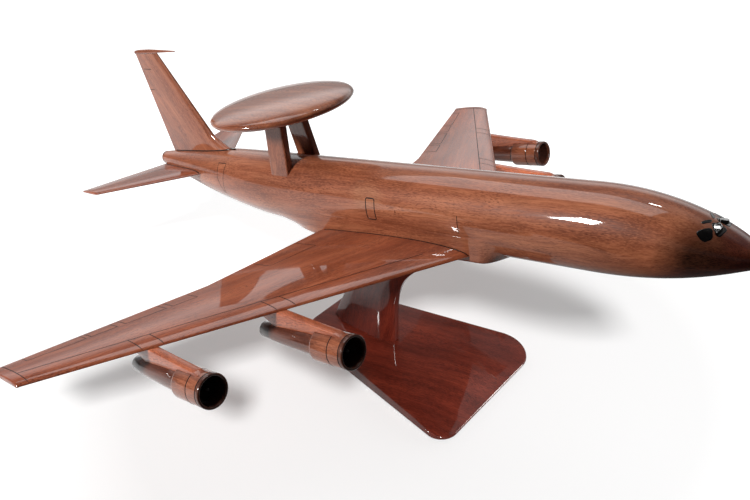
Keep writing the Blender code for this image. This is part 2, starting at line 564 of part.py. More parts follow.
# Engines
def engine(label, offset, lead, side, wing_cutter):
    """One engine: nacelle, intake plug, exhaust nozzle, pylon and the pin that holds the pylon."""
    wing_lead = wing_edges(offset)[0]
    pod = bpy.data.objects.new("pod_" + label, None)
    pod.parent = airframe
    pod.location = (ahead(wing_lead - lead), side * offset, ENGINE_Z)
    pod.rotation_euler = (0, -ENGINE_PITCH, 0)
    bpy.context.collection.objects.link(pod)
    back = along((0, 0, 0), (-1, 0, 0))
    lip = (COWL_RADIUS - LIP_RADIUS) / 2
    lip_middle = (COWL_RADIUS + LIP_RADIUS) / 2
    profile = [(NACELLE_LENGTH - NOZZLE_SPIGOT_LENGTH, NOZZLE_SPIGOT_RADIUS + GAP),
               (NACELLE_LENGTH, NOZZLE_SPIGOT_RADIUS + GAP),
               (NACELLE_LENGTH, CORE_END_RADIUS),
               (mix(COWL_LENGTH, NACELLE_LENGTH, 0.5), mix(CORE_RADIUS, CORE_END_RADIUS, 0.4)),
               (COWL_LENGTH + 0.0012, CORE_RADIUS),
               (COWL_LENGTH, COWL_RADIUS * 0.94),
               (COWL_LENGTH - 0.0015, COWL_RADIUS),
               (COWL_LENGTH * 0.5, COWL_RADIUS)]
    for k in range(6):
        bend = math.pi * k / 5
        profile.append((lip * (1 - math.sin(bend)), lip_middle + lip * math.cos(bend)))
    profile.append((INTAKE_DEPTH, LIP_RADIUS))
    nacelle = turn("nacelle_" + label, profile, back, lacquer, pod, 24)
    plug_radius = LIP_RADIUS - GAP
    plug_back = INTAKE_DEPTH - GAP
    plug_face = plug_back - PLUG_THICKNESS
    plug = [(plug_back, plug_radius), (plug_face, plug_radius), (plug_face, SPINNER_RADIUS)]
    for k in range(1, 4):
        bend = math.pi / 2 * k / 4
        plug.append((plug_face - SPINNER_LENGTH * math.sin(bend), SPINNER_RADIUS * math.cos(bend)))
    turn("intake_plug_" + label, plug, back, black, pod, 20)
    nozzle_end = NACELLE_LENGTH + GAP + NOZZLE_LENGTH
    nozzle = ((NACELLE_LENGTH + GAP - NOZZLE_SPIGOT_LENGTH + GAP, NOZZLE_SPIGOT_RADIUS),
              (NACELLE_LENGTH + GAP, NOZZLE_SPIGOT_RADIUS),
              (NACELLE_LENGTH + GAP, CORE_END_RADIUS - GAP),
              (nozzle_end, NOZZLE_END_RADIUS), (nozzle_end, NOZZLE_BORE_RADIUS),
              (mix(NACELLE_LENGTH, nozzle_end, 0.5), NOZZLE_BORE_RADIUS * 0.9))
    turn("exhaust_nozzle_" + label, nozzle, back, black, pod, 20)

    # Pylon outline, in the pod's frame: along the nacelle, up to the leading edge, under the wing
    wing_low = (WING_UNDER_Z - ENGINE_Z) * math.cos(ENGINE_PITCH)
    nose_z = WING_Z - ENGINE_Z + lead * math.sin(ENGINE_PITCH)
    rear = lead + PYLON_REACH
    rear_z = wing_low + rear * math.sin(ENGINE_PITCH)
    heel = min(NACELLE_LENGTH - 0.004, rear - 0.006)
    bed = PYLON_BED
    shelf = COWL_RADIUS - PYLON_INLAY
    step = INTAKE_DEPTH + INTAKE_WALL
    outline = [(-PYLON_FRONT, shelf), (-PYLON_FRONT, COWL_RADIUS), (-PYLON_FRONT - 0.003, COWL_RADIUS + 0.0012)]
    outline.append((-mix(PYLON_FRONT, lead, 0.55), mix(COWL_RADIUS + 0.0012, nose_z, 0.45)))
    outline += [(-lead, nose_z), (-rear, rear_z), (-heel, bed), (-step, bed), (-step, shelf)]
    half = PYLON_THICKNESS / 2
    pylon = slab("pylon_" + label, outline, -half, half, lacquer, pod)
    cut(pylon, wing_cutter)
    slot = ((-PYLON_FRONT + GAP, shelf - GAP), (-PYLON_FRONT + GAP, 2 * COWL_RADIUS),
            (-heel - GAP - 0.004, 2 * COWL_RADIUS), (-heel - GAP - 0.004, bed - GAP),
            (-step + GAP, bed - GAP), (-step + GAP, shelf - GAP))
    cut(nacelle, slab("pylon_slot_" + label, slot, -half - GAP, half + GAP, None, pod))

    # Headless pin from the pylon up into the wing, in the airframe's frame
    middle = wing_lead + PYLON_REACH * 0.55
    foot = Vector((ahead(middle), side * offset, WING_UNDER_Z - PIN_LENGTH * 0.6))
    rod("pylon_pin_" + label, foot, upright, PIN_RADIUS, PIN_LENGTH, steel, airframe, 12)
    hole = rod("pin_hole_" + label, foot - upright * GAP, upright, PIN_RADIUS + GAP,
               PIN_LENGTH + 2 * GAP, None, airframe, 12)
    cut(pylon, hole)
    return hole


for side_name, side in SIDES:
    wing_cutter = wing_solid("wing_room_" + side_name, side, GAP)
    wing_cutter.hide_render = True
    for place_name, offset, lead in ENGINES:
        pin_hole = engine(side_name + "_" + place_name, offset, lead, side, wing_cutter)
        cut(bpy.data.objects["wing_" + side_name], pin_hole)


# Stand: felt, sloping base with a front bevel, leaning column, two screws from below and two pegs
def base_outline(front, rear, front_width, rear_width, radii):
    """Rounded trapezoid of (x, y) points, wide end to the front, with hand-shaped corners."""
    corners = [(front, front_width / 2), (rear, rear_width / 2), (rear, -rear_width / 2), (front, -front_width / 2)]
    outline = []
    for i, radius in enumerate(radii):
        here = Vector(corners[i])
        before = (Vector(corners[i - 1]) - here).normalized()
        after = (Vector(corners[(i + 1) % 4]) - here).normalized()
        half_angle = before.angle(after) / 2
        centre = here + (before + after).normalized() * radius / math.sin(half_angle)
        first = here + before * radius / math.tan(half_angle) - centre
        last = here + after * radius / math.tan(half_angle) - centre
        sweep = first.angle(last)
        for k in range(7):
            near, far = math.sin(sweep * (1 - k / 6)), math.sin(sweep * k / 6)
            outline.append(centre + (first * near + last * far) / math.sin(sweep))
    return outline


front, rear = BASE_FRONT, BASE_FRONT - BASE_LENGTH
outer = base_outline(front, rear, BASE_FRONT_WIDTH, BASE_REAR_WIDTH, BASE_CORNER_RADII)


def base_level(x):
    """World height of the sloping base top at a distance along the stand, without its bevel."""
    return BASE_TOP_Z - (x - AIRFRAME_X) * math.tan(BASE_SLOPE)


blank_z = base_level(rear) + 2 * GAP
base = loft("stand_base", [[Vector((x, y, z)) for x, y in outer] for z in (BASE_Z, blank_z)], dark_lacquer)
bevel_x = front - BASE_BEVEL
front_z = BASE_Z + BASE_FRONT_EDGE
bevel_fall = (base_level(bevel_x) - front_z) / BASE_BEVEL
planed_off = ((rear - FELT_INSET, base_level(rear - FELT_INSET)), (bevel_x, base_level(bevel_x)),
              (front + FELT_INSET, front_z - bevel_fall * FELT_INSET),
              (front + FELT_INSET, 2 * blank_z), (rear - FELT_INSET, 2 * blank_z))
cut(base, slab("planed_off", planed_off, -BASE_FRONT_WIDTH, BASE_FRONT_WIDTH))
pad = base_outline(front - FELT_INSET, rear + FELT_INSET, BASE_FRONT_WIDTH - 2 * FELT_INSET,
                   BASE_REAR_WIDTH - 2 * FELT_INSET, [radius - FELT_INSET for radius in BASE_CORNER_RADII])
loft("felt_pad", [[Vector((x, y, z)) for x, y in pad] for z in (0, FELT_THICKNESS)], felt)


def belly_level(x):
    """World height of the column's top face at a distance along the stand."""
    return FOOT_Z + COLUMN_HEIGHT + (x - AIRFRAME_X) * math.tan(PITCH)


def column_ring(share):
    """Level ring of the column, with chamfered front and rear, at a share of its height."""
    fore = COLUMN_FOOT_FRONT + COLUMN_LEAN * share + COLUMN_SWEEP * share**4.7
    aft = COLUMN_FOOT_REAR + COLUMN_REAR_LEAN * share
    wide, narrow = COLUMN_THICKNESS / 2, COLUMN_EDGE / 2
    plan = ((fore, narrow), (fore - COLUMN_CHAMFER, wide), (aft + COLUMN_CHAMFER, wide), (aft, narrow))
    plan += tuple((x, -y) for x, y in plan[::-1])
    return [Vector((x, y, mix(base_level(x) + GAP, belly_level(x), share))) for x, y in plan]


column = loft("stand_column", [column_ring(k / 14) for k in range(15)], dark_lacquer)

foot_length = COLUMN_FOOT_FRONT - COLUMN_FOOT_REAR
for place_name, share in (("front", 0.68), ("rear", 0.32)):
    x = COLUMN_FOOT_REAR + foot_length * share
    frame = along((x, 0, BASE_Z + GAP), upright)
    screw = ((0, SCREW_HEAD_RADIUS), (SCREW_HEAD_HEIGHT, SCREW_RADIUS), (SCREW_LENGTH, SCREW_RADIUS))
    turn("base_screw_" + place_name, screw, frame, steel, None, 20)
    room = ((-2 * GAP, SCREW_HEAD_RADIUS + GAP), (GAP, SCREW_HEAD_RADIUS + GAP),
            (SCREW_HEAD_HEIGHT + GAP, SCREW_RADIUS + GAP), (SCREW_LENGTH + GAP, SCREW_RADIUS + GAP))
    hole = turn("screw_hole_" + place_name, room, frame, None, None, 20)
    cut(base, hole)
    cut(column, hole)

tilted = airframe.rotation_euler.to_matrix()
for place_name, shift in (("front", PEG_MIDDLE + PEG_SPACING / 2), ("rear", PEG_MIDDLE - PEG_SPACING / 2)):
    peg_up = tilted @ Vector((0, 0, 1))
    foot = airframe.location + tilted @ Vector((shift, 0, BELLY_Z - PEG_DOWN))
    rod("stand_peg_" + place_name, foot, peg_up, PEG_RADIUS, PEG_DOWN + PEG_UP, bare_wood)
    cut(column, rod("peg_socket_" + place_name, foot - peg_up * GAP, peg_up, PEG_RADIUS + GAP, PEG_DOWN + 0.004))
    seat = Vector((shift, 0, BELLY_Z - 0.004))
    cut(belly_block, rod("peg_hole_" + place_name, seat, upright, PEG_RADIUS + GAP, PEG_UP + GAP + 0.004,
                         None, airframe))
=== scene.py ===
"""Looks of a gloss-lacquered wooden desk model of a radar aircraft on its leaning stand.

All lengths are in metres. The stand is built in the part's own frame, the aircraft in the airframe's:
X ahead of the stand pegs, Y to the left, Z above the fuselage axis. Stations count aft from the nose tip.
"""
import json
import math

import bmesh
import bpy
from mathutils import Matrix, Vector

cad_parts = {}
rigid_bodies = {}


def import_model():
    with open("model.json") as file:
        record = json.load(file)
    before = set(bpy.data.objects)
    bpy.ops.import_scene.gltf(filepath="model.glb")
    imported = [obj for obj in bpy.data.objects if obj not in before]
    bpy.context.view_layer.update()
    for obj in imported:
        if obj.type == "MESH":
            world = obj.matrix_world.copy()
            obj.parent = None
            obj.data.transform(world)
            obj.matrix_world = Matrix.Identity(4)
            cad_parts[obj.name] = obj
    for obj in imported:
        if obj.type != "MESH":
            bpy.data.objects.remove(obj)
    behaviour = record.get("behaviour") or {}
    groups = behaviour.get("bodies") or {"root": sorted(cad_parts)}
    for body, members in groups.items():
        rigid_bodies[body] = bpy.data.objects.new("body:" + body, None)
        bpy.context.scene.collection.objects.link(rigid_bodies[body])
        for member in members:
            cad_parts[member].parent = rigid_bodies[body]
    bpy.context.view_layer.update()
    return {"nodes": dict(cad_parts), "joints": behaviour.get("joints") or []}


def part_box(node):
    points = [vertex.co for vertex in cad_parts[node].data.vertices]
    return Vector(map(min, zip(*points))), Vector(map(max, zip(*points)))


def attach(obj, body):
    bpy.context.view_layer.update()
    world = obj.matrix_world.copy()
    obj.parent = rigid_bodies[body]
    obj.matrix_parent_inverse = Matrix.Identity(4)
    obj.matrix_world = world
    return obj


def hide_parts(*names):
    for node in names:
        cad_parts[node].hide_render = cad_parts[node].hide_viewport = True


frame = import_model()

# Felt pad
# A millimetre of dark green wool felt, cut a little smaller than the base and glued under it.
# Only its edge shows, as a soft dark line that lifts the base off the desk.
FELT_DARK = (0.010, 0.022, 0.014, 1)
FELT_PALE = (0.035, 0.070, 0.045, 1)
FELT_FUZZ = (0.0006, 0.0006, 0.0006)

def grey(level):
    """Opaque grey of a level."""
    return (level, level, level, 1)

def new_finish(name, **values):
    """New material with plain values on its shader: the material, its node tree and its shader."""
    material = bpy.data.materials.new(name)
    material.use_nodes = True
    shader = material.node_tree.nodes["Principled BSDF"]
    for key, value in values.items():
        shader.inputs[key.replace("_", " ")].default_value = value
    return material, material.node_tree, shader

def shade(tree, kind, settings=None, **inputs):
    """Shader node of a kind. Each input takes a value or another node's output, and a, b, c count inputs."""
    node = tree.nodes.new("ShaderNode" + kind)
    for key, value in (settings or {}).items():
        setattr(node, key, value)
    for key, value in inputs.items():
        socket = node.inputs["abc".index(key) if key in "abc" else key.replace("_", " ")]
        if isinstance(value, bpy.types.NodeSocket):
            tree.links.new(value, socket)
        else:
            socket.default_value = value
    return node

def wire(shader, **sources):
    """Link other nodes' outputs to a shader's inputs."""
    for key, source in sources.items():
        shader.id_data.links.new(source, shader.inputs[key.replace("_", " ")])

def ramp(tree, factor, *stops):
    """Colour ramp over (position, colour) stops."""
    node = shade(tree, "ValToRGB", Fac=factor)
    node.color_ramp.elements[0].position, node.color_ramp.elements[0].color = stops[0]
    node.color_ramp.elements[1].position, node.color_ramp.elements[1].color = stops[-1]
    for position, colour in stops[1:-1]:
        node.color_ramp.elements.new(position).color = colour
    return node.outputs["Color"]

def speckle(tree, place, size, detail):
    """Noise whose spots have a size along x, y and z."""
    stretched = shade(tree, "Mapping", Vector=place, Scale=[1 / length for length in size])
    noise = shade(tree, "TexNoise", Vector=stretched.outputs["Vector"], Scale=1.0, Detail=detail)
    return noise.outputs["Fac"]

def bumped(tree, height, depth, strength=1.0):
    """Normal of a surface that rises and falls by a depth."""
    return shade(tree, "Bump", Height=height, Distance=depth, Strength=strength).outputs["Normal"]

def spotted(name, size, detail, dark, pale, ends=(0.3, 0.7), roughness=None, relief=None, **values):
    """Finish with small dark and pale spots, which can carry their own roughness and relief."""
    material, tree, shader = new_finish(name, **values)
    spots = speckle(tree, shade(tree, "TexCoord").outputs["Object"], size, detail)
    wire(shader, Base_Color=ramp(tree, spots, (ends[0], dark), (ends[1], pale)))
    if roughness:
        wire(shader, Roughness=ramp(tree, spots, (0.3, grey(roughness[0])), (0.7, grey(roughness[1]))))
    if relief:
        wire(shader, Normal=bumped(tree, spots, relief))
    return material

def dress(node, material):
    """Give a CAD node that shows as it is a finish."""
    frame["nodes"][node].material_slots[0].material = material

dress("felt_pad", spotted("wool_felt", FELT_FUZZ, 4.0, FELT_DARK, FELT_PALE, (0.35, 0.70), relief=0.0003,
                          Roughness=0.95, Specular_IOR_Level=0.2, Sheen_Weight=0.4))

# Stand base
# One dark-stained mahogany board, wide in front, planed to fall gently forward to a broad bevel.
# Its corners are sanded round by hand, its top edges rubbed over, and it is brushed with gloss lacquer.
# Wood tones are dark, middle, pale and pore. Each layer of the figure has a length, a width and a detail.
BASE_FRONT = 0.0662
BASE_LENGTH = 0.1376
BASE_FRONT_WIDTH = 0.1090
BASE_REAR_WIDTH = 0.0512
BASE_CORNER_RADII = (0.0180, 0.0150, 0.0150, 0.0105)
BASE_THICKNESS = 0.0069
BASE_SLOPE = math.radians(2.3)
BASE_BEVEL = 0.0237
BASE_FRONT_EDGE = 0.0010
BASE_ROUNDING = 0.0008
AIRFRAME_X = 0.0046
BASE_GRAIN = (1.0, 0.25, 0.0)
STAIN = ((0.068, 0.0088, 0.0044), (0.100, 0.0132, 0.0066), (0.140, 0.0205, 0.0096), (0.034, 0.0046, 0.0026))
FIGURE = {"ribbons": (0.090, 0.0060, 3.0), "clouds": (0.040, 0.016, 2.0), "streaks": (0.016, 0.0007, 3.0),
          "pores": (0.0024, 0.00034, 1.0), "zones": (0.045, 0.011, 2.0), "waves": (0.011, 0.007, 1.0)}
GRAIN_SWAY = (0.0, 0.010, 0.010)
GRAIN_SHADOW = (0.74, 0.70, 0.68, 1)
GRAIN_LIGHT = (1.20, 1.24, 1.26, 1)
PORE_SHARE = 0.55
FIBRE_DEPTH = 0.00004
BRUSH_DEPTH = 0.000012

def maths(tree, kind, operation, *values):
    """Answer of a Math or VectorMath node to values or other nodes' outputs."""
    node = shade(tree, kind, {"operation": operation}, **dict(zip("abc", values)))
    plain = kind == "Math" or operation in ("DOT_PRODUCT", "LENGTH")
    return node.outputs["Value" if plain else "Vector"]

def blend(tree, share, under, over, kind="MIX"):
    """Colour of one layer over another by a share."""
    return shade(tree, "MixRGB", {"blend_type": kind}, Fac=share, Color1=under, Color2=over).outputs["Color"]

def along_grain(tree, grain):
    """Place in the wood, and the same place turned so that X runs along the grain."""
    turn = Vector(grain).normalized().rotation_difference(Vector((1, 0, 0))).to_euler()
    spot = shade(tree, "TexCoord").outputs["Object"]
    return spot, shade(tree, "Mapping", Vector=spot, Rotation=turn).outputs["Vector"]

def mahogany(name, grain, tones, shade_and_figure_patches=()):
    """Gloss-lacquered mahogany with its fibres along a direction: ribbons, streaks, dark and pale flecks.
    Each patch is a soft tint over the wood: (middle, reach along x, y and z, tint). Darkening patches are
    painted shade, lightening ones pale figure in the wood."""
    dark, middle, pale, pore = ((*tone, 1) for tone in tones)
    material, tree, shader = new_finish(name, Specular_IOR_Level=0.15, Coat_Weight=1.0, Coat_Roughness=0.045,
                                        Coat_IOR=1.5)
    spot, fibre = along_grain(tree, grain)
    sway = shade(tree, "TexNoise", Vector=fibre, Scale=16.0, Detail=2.0).outputs["Color"]
    sway = maths(tree, "VectorMath", "SUBTRACT", sway, (0.5, 0.5, 0.5))
    fibre = maths(tree, "VectorMath", "MULTIPLY_ADD", sway, GRAIN_SWAY, fibre)
    figure = {layer: speckle(tree, fibre, (length, width, width), detail)
              for layer, (length, width, detail) in FIGURE.items()}

    colour = ramp(tree, figure["ribbons"], (0.30, dark), (0.50, middle), (0.70, pale))
    for layer, low, high, share in (("clouds", 0.30, 0.70, 0.8), ("streaks", 0.32, 0.68, 1.0)):
        tint = ramp(tree, figure[layer], (low, GRAIN_SHADOW), (high, GRAIN_LIGHT))
        colour = blend(tree, share, colour, tint, "MULTIPLY")
    pits = ramp(tree, figure["pores"], (PORE_SHARE, grey(0)), (PORE_SHARE + 0.08, grey(1)))
    zones = ramp(tree, figure["zones"], (0.40, grey(0.10)), (0.64, grey(0.75)))
    colour = blend(tree, maths(tree, "Math", "MULTIPLY", pits, zones), colour, pore)
    flecks = ramp(tree, figure["pores"], (0.30, grey(0.6)), (0.45, grey(0)))
    colour = blend(tree, flecks, colour, pale)
    # Soft patches tint the colour: the darkening ones are painted shade.
    for centre, reach, tint in shade_and_figure_patches:
        near = maths(tree, "VectorMath", "SUBTRACT", spot, centre)
        near = maths(tree, "VectorMath", "LENGTH", maths(tree, "VectorMath", "DIVIDE", near, reach))
        near = maths(tree, "Math", "ADD", near, figure["clouds"])
        colour = blend(tree, 1.0, colour, ramp(tree, near, (0.70, (*tint, 1)), (1.0, grey(1))), "MULTIPLY")
    wire(shader, Base_Color=colour,
         Roughness=ramp(tree, figure["streaks"], (0.3, grey(0.38)), (0.7, grey(0.52))),
         Normal=bumped(tree, figure["streaks"], FIBRE_DEPTH, 0.4),
         Coat_Normal=bumped(tree, figure["waves"], BRUSH_DEPTH))
    return material

def rounded_outline(front, rear, front_width, rear_width, radii, steps=16):
    """Rounded trapezoid of (x, y) points, wide end to the front."""
    corners = [Vector((front, front_width / 2)), Vector((rear, rear_width / 2)),
               Vector((rear, -rear_width / 2)), Vector((front, -front_width / 2))]
    outline = []
    for i, radius in enumerate(radii):
        before = (corners[i - 1] - corners[i]).normalized()
        after = (corners[(i + 1) % 4] - corners[i]).normalized()
        half_angle = before.angle(after) / 2
        centre = corners[i] + (before + after).normalized() * radius / math.sin(half_angle)
        first = corners[i] + before * radius / math.tan(half_angle) - centre
        last = corners[i] + after * radius / math.tan(half_angle) - centre
        sweep = first.angle(last)
        for k in range(steps + 1):
            near, far = math.sin(sweep * (1 - k / steps)), math.sin(sweep * k / steps)
            outline.append(centre + (first * near + last * far) / math.sin(sweep))
    return outline

def crisp(builder, angle=38):
    """Smooth shading on a bmesh, with its sharp edges kept."""
    bmesh.ops.recalc_face_normals(builder, faces=builder.faces)
    for face in builder.faces:
        face.smooth = True
    for edge in builder.edges:
        edge.smooth = edge.calc_face_angle(0) < math.radians(angle)

def add_piece(name, builder, material, body, nodes=(), place=Matrix()):
    """Turn a bmesh into a piece that rides on a body and stands for CAD nodes."""
    crisp(builder)
    mesh = bpy.data.meshes.new(name)
    builder.to_mesh(mesh)
    builder.free()
    mesh.materials.append(material)
    piece = bpy.data.objects.new(name, mesh)
    bpy.context.scene.collection.objects.link(piece)
    piece.matrix_world = place
    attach(piece, body)
    if nodes:
        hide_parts(*nodes)
    return piece

def bridge(builder, lower, upper):
    """Faces between two loops of vertices."""
    for i in range(len(lower)):
        j = (i + 1) % len(lower)
        builder.faces.new((lower[i], lower[j], upper[j], upper[i]))

def skinned(rings, hoop=False, builder=None):
    """Skin over rings with the same number of points, with caps on its ends, or joined up as a hoop."""
    if builder is None:
        builder = bmesh.new()
    loops = [[builder.verts.new(point) for point in ring] for ring in rings]
    for lower, upper in zip(loops, loops[1:] + loops[:1] if hoop else loops[1:]):
        bridge(builder, lower, upper)
    if not hoop:
        builder.faces.new(loops[0])
        builder.faces.new(loops[-1])
    return builder

stained_board = mahogany("stained_mahogany_board", BASE_GRAIN, STAIN)
base_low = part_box("stand_base")[0].z
base_rear = BASE_FRONT - BASE_LENGTH
bevel_x = BASE_FRONT - BASE_BEVEL

def base_level(x):
    """Height of the sloping base top at a distance along the stand, without its bevel."""
    return base_low + BASE_THICKNESS - (x - AIRFRAME_X) * math.tan(BASE_SLOPE)

outline = rounded_outline(BASE_FRONT, base_rear, BASE_FRONT_WIDTH, BASE_REAR_WIDTH, BASE_CORNER_RADII)
base_high = base_level(base_rear) + BASE_ROUNDING
builder = skinned([[(*point, z) for point in outline] for z in (base_low, base_high)])
crease = Vector((bevel_x, 0, base_level(bevel_x)))
bevel_fall = crease.z - base_low - BASE_FRONT_EDGE
for square in ((math.sin(BASE_SLOPE), 0, math.cos(BASE_SLOPE)), (bevel_fall, 0, BASE_BEVEL)):
    whole = builder.verts[:] + builder.edges[:] + builder.faces[:]
    planed = bmesh.ops.bisect_plane(builder, geom=whole, plane_co=crease, plane_no=square, clear_outer=True)
    rim = [edge for edge in planed["geom_cut"] if isinstance(edge, bmesh.types.BMEdge)]
    bmesh.ops.contextual_create(builder, geom=rim)
arris = [edge for edge in builder.edges if edge.calc_face_angle(0) > math.radians(40)
         and min(vert.co.z for vert in edge.verts) > base_low + BASE_FRONT_EDGE / 2]
bmesh.ops.bevel(builder, geom=arris, offset=BASE_ROUNDING, segments=5, profile=0.5, affect="EDGES")
base = add_piece("sloping_base", builder, stained_board, "stand", ["stand_base"])

# Base screws
# Two countersunk steel wood screws, driven up through the board into the foot of the column.
# The felt covers their heads.
SCREW_DARK = (0.36, 0.36, 0.37, 1)
SCREW_GREY = (0.52, 0.52, 0.53, 1)
SCREW_SCUFF = (0.0012, 0.0012, 0.0003)
ENDS = ("front", "rear")

zinc = spotted("zinc_plated_steel", SCREW_SCUFF, 3.0, SCREW_DARK, SCREW_GREY, roughness=(0.5, 0.25),
               Metallic=1.0)
for end in ENDS:
    dress("base_screw_" + end, zinc)

# Stand column
# A dark-stained mahogany upright that leans forward and flares out under the belly, chamfered front and back.
# It is cut from a thin board with the grain upright, glued and screwed to the base.
PITCH = math.radians(9.0)
COLUMN_HEIGHT = 0.0821
COLUMN_FOOT_FRONT = -0.0100
COLUMN_FOOT_REAR = -0.0627
COLUMN_LEAN = 0.0050
COLUMN_SWEEP = 0.0620
COLUMN_SWEEP_POWER = 4.7
COLUMN_REAR_LEAN = 0.0360
COLUMN_THICKNESS = 0.0130
COLUMN_EDGE = 0.0050
COLUMN_CHAMFER = 0.0090
COLUMN_ROUNDING = 0.08
COLUMN_GRAIN = (0.25, 0.0, 1.0)
COLUMN_STAIN = ((0.105, 0.0120, 0.0058), (0.155, 0.0190, 0.0092), (0.215, 0.0295, 0.0138),
                (0.050, 0.0060, 0.0030))
GLUE_GAP = 0.0003

def mix(a, b, share):
    """Value part of the way from a to b."""
    return a + (b - a) * share

def eased(outline, share):
    """Corners of an outline cut back by a share of their sides, with one point left in the middle."""
    points = []
    for i, here in enumerate(outline):
        before, after = outline[i - 1], outline[(i + 1) % len(outline)]
        first, last = here.lerp(before, share), here.lerp(after, share)
        points += [first, (first + last) / 4 + here / 2, last]
    return points

def column_ring(share):
    """Ring of the column at a share of its height."""
    fore = COLUMN_FOOT_FRONT + COLUMN_LEAN * share + COLUMN_SWEEP * share**COLUMN_SWEEP_POWER
    aft = COLUMN_FOOT_REAR + COLUMN_REAR_LEAN * share
    wide, narrow = COLUMN_THICKNESS / 2, COLUMN_EDGE / 2
    plan = ((fore, narrow), (fore - COLUMN_CHAMFER, wide), (aft + COLUMN_CHAMFER, wide), (aft, narrow))
    plan += tuple((x, -y) for x, y in plan[::-1])
    ring = []
    for x, y in plan:
        foot = base_level(x) + GLUE_GAP
        belly = base_level(AIRFRAME_X) + GLUE_GAP + COLUMN_HEIGHT + (x - AIRFRAME_X) * math.tan(PITCH)
        ring.append(Vector((x, y, mix(foot, belly, share))))
    return eased(ring, COLUMN_ROUNDING)

stained_upright = mahogany("stained_mahogany_upright", COLUMN_GRAIN, COLUMN_STAIN)
column_skin = skinned([column_ring(k / 60) for k in range(61)])
column = add_piece("leaning_column", column_skin, stained_upright, "stand",
                   ["stand_column"])

# Stand pegs
# Two beech dowels glued into the top of the column. The belly block drops over them.
# They are left bare, so that the model lifts off easily.
BEECH_PALE = (0.66, 0.46, 0.27, 1)
BEECH_DARK = (0.42, 0.25, 0.12, 1)
BEECH_FIBRE = (0.008, 0.0004, 0.0004)

def bare_beech(name, grain):
    """Unfinished beech with fine fibres along a direction."""
    material, tree, shader = new_finish(name, Roughness=0.7, Specular_IOR_Level=0.3)
    lines = speckle(tree, along_grain(tree, grain)[1], BEECH_FIBRE, 3.0)
    wire(shader, Base_Color=ramp(tree, lines, (0.3, BEECH_DARK), (0.6, BEECH_PALE)),
         Normal=bumped(tree, lines, 0.00006))
    return material

upright_beech = bare_beech("beech_upright", (0, 0, 1))
for end in ENDS:
    dress("stand_peg_" + end, upright_beech)

# Belly block
# The fairing under the fuselage that carries both wing roots: a mahogany block, rounded under and faded into
# the fuselage at both ends. It is glued up into a flat notch and bored for the stand pegs.
FUSELAGE_HEIGHT = 0.044
FUSELAGE_WIDTH = 0.041
STAND_STATION = 0.193
DOME_STATION = 0.2804
DOME_HEIGHT = 0.0555
BELLY_FRONT = 0.120
BELLY_REAR = 0.295
BELLY_FULL = 0.172
BELLY_LIGHT = 0.55
BELLY_SPLIT = 0.0125
BELLY_JOIN = 0.0060
BELLY_TUCK = 0.0020
BELLY_SWELL = 0.0008
BELLY_KEEL = 0.0066
BELLY_FLAT = 0.016
BELLY_BEND = 0.8
BELLY_MARGIN = 0.004
FADE = 0.985
WING_ROOT_LEAD = 0.1385
WING_ROOT_CHORD = 0.1107
WING_ROOT_THICKNESS = 0.0062
UNDER_SHARE = 0.25
EDGE_THICKNESS = 0.0008
PEG_RADIUS = 0.0025
PEG_SPACING = 0.0280
PEG_MIDDLE = -0.0080
PEG_UP = 0.0105
BORE_OVERCUT = 0.002
ALONG = (1.0, 0.0, 0.03)
# Fuselage patches: the first is painted shade that darkens and reddens the nose. The other two are pale
# figure in the wood, high on each side by the overwing doors.
SHADE_AND_FIGURE_PATCHES = (((0.193, 0.0, -0.010), (0.090, 0.090, 0.040), (0.64, 0.27, 0.33)),
          ((-0.012, -0.018, 0.010), (0.034, 0.020, 0.013), (1.20, 1.45, 1.55)),
          ((-0.012, 0.018, 0.010), (0.034, 0.020, 0.013), (1.20, 1.45, 1.55)))
FUSELAGE_TONES = ((0.215, 0.0560, 0.0235), (0.300, 0.0880, 0.0390), (0.400, 0.1350, 0.0620),
                  (0.095, 0.0210, 0.0090))

dome_joint = next(joint for joint in frame["joints"] if joint["name"] == "dome_spin")
tilt = Matrix.Rotation(-PITCH, 4, "Y")
dome_pivot = Vector((STAND_STATION - DOME_STATION, 0, DOME_HEIGHT))
airframe = Matrix.Translation(Vector(dome_joint["pos_m"]) - tilt @ dome_pivot) @ tilt

def on_aircraft(name, builder, material, nodes=(), place=airframe):
    """Piece that rides on the aircraft, drawn in the airframe or in an engine's own frame."""
    return add_piece(name, builder, material, "aircraft", nodes, place)

def ahead(station):
    """Distance ahead of the stand pegs for a station aft of the nose."""
    return STAND_STATION - station

def oval_side(z):
    """Half width of the fuselage's straight part at a height."""
    return FUSELAGE_WIDTH / 2 * math.sqrt(1 - (2 * z / FUSELAGE_HEIGHT) ** 2)

wing_z = -(BELLY_SPLIT + GLUE_GAP + WING_ROOT_THICKNESS * (1 - UNDER_SHARE) + EDGE_THICKNESS)
wing_under_z = wing_z - WING_ROOT_THICKNESS * UNDER_SHARE
belly_z = wing_under_z - BELLY_KEEL
wall_z = wing_under_z - EDGE_THICKNESS
belly_side = oval_side(BELLY_SPLIT)
belly_lead = WING_ROOT_LEAD - BELLY_MARGIN
belly_trail = WING_ROOT_LEAD + WING_ROOT_CHORD + BELLY_MARGIN

def clamped(value):
    """Value held between 0 and 1."""
    return max(0.0, min(1.0, value))

def belly_wall(z):
    """Half width of the fairing's upright side, which leaves the fuselage almost flush."""
    if z > -BELLY_JOIN:
        return oval_side(z) * FADE
    return mix(oval_side(BELLY_JOIN), belly_side + BELLY_SWELL, (z + BELLY_JOIN) / (wall_z + BELLY_JOIN))

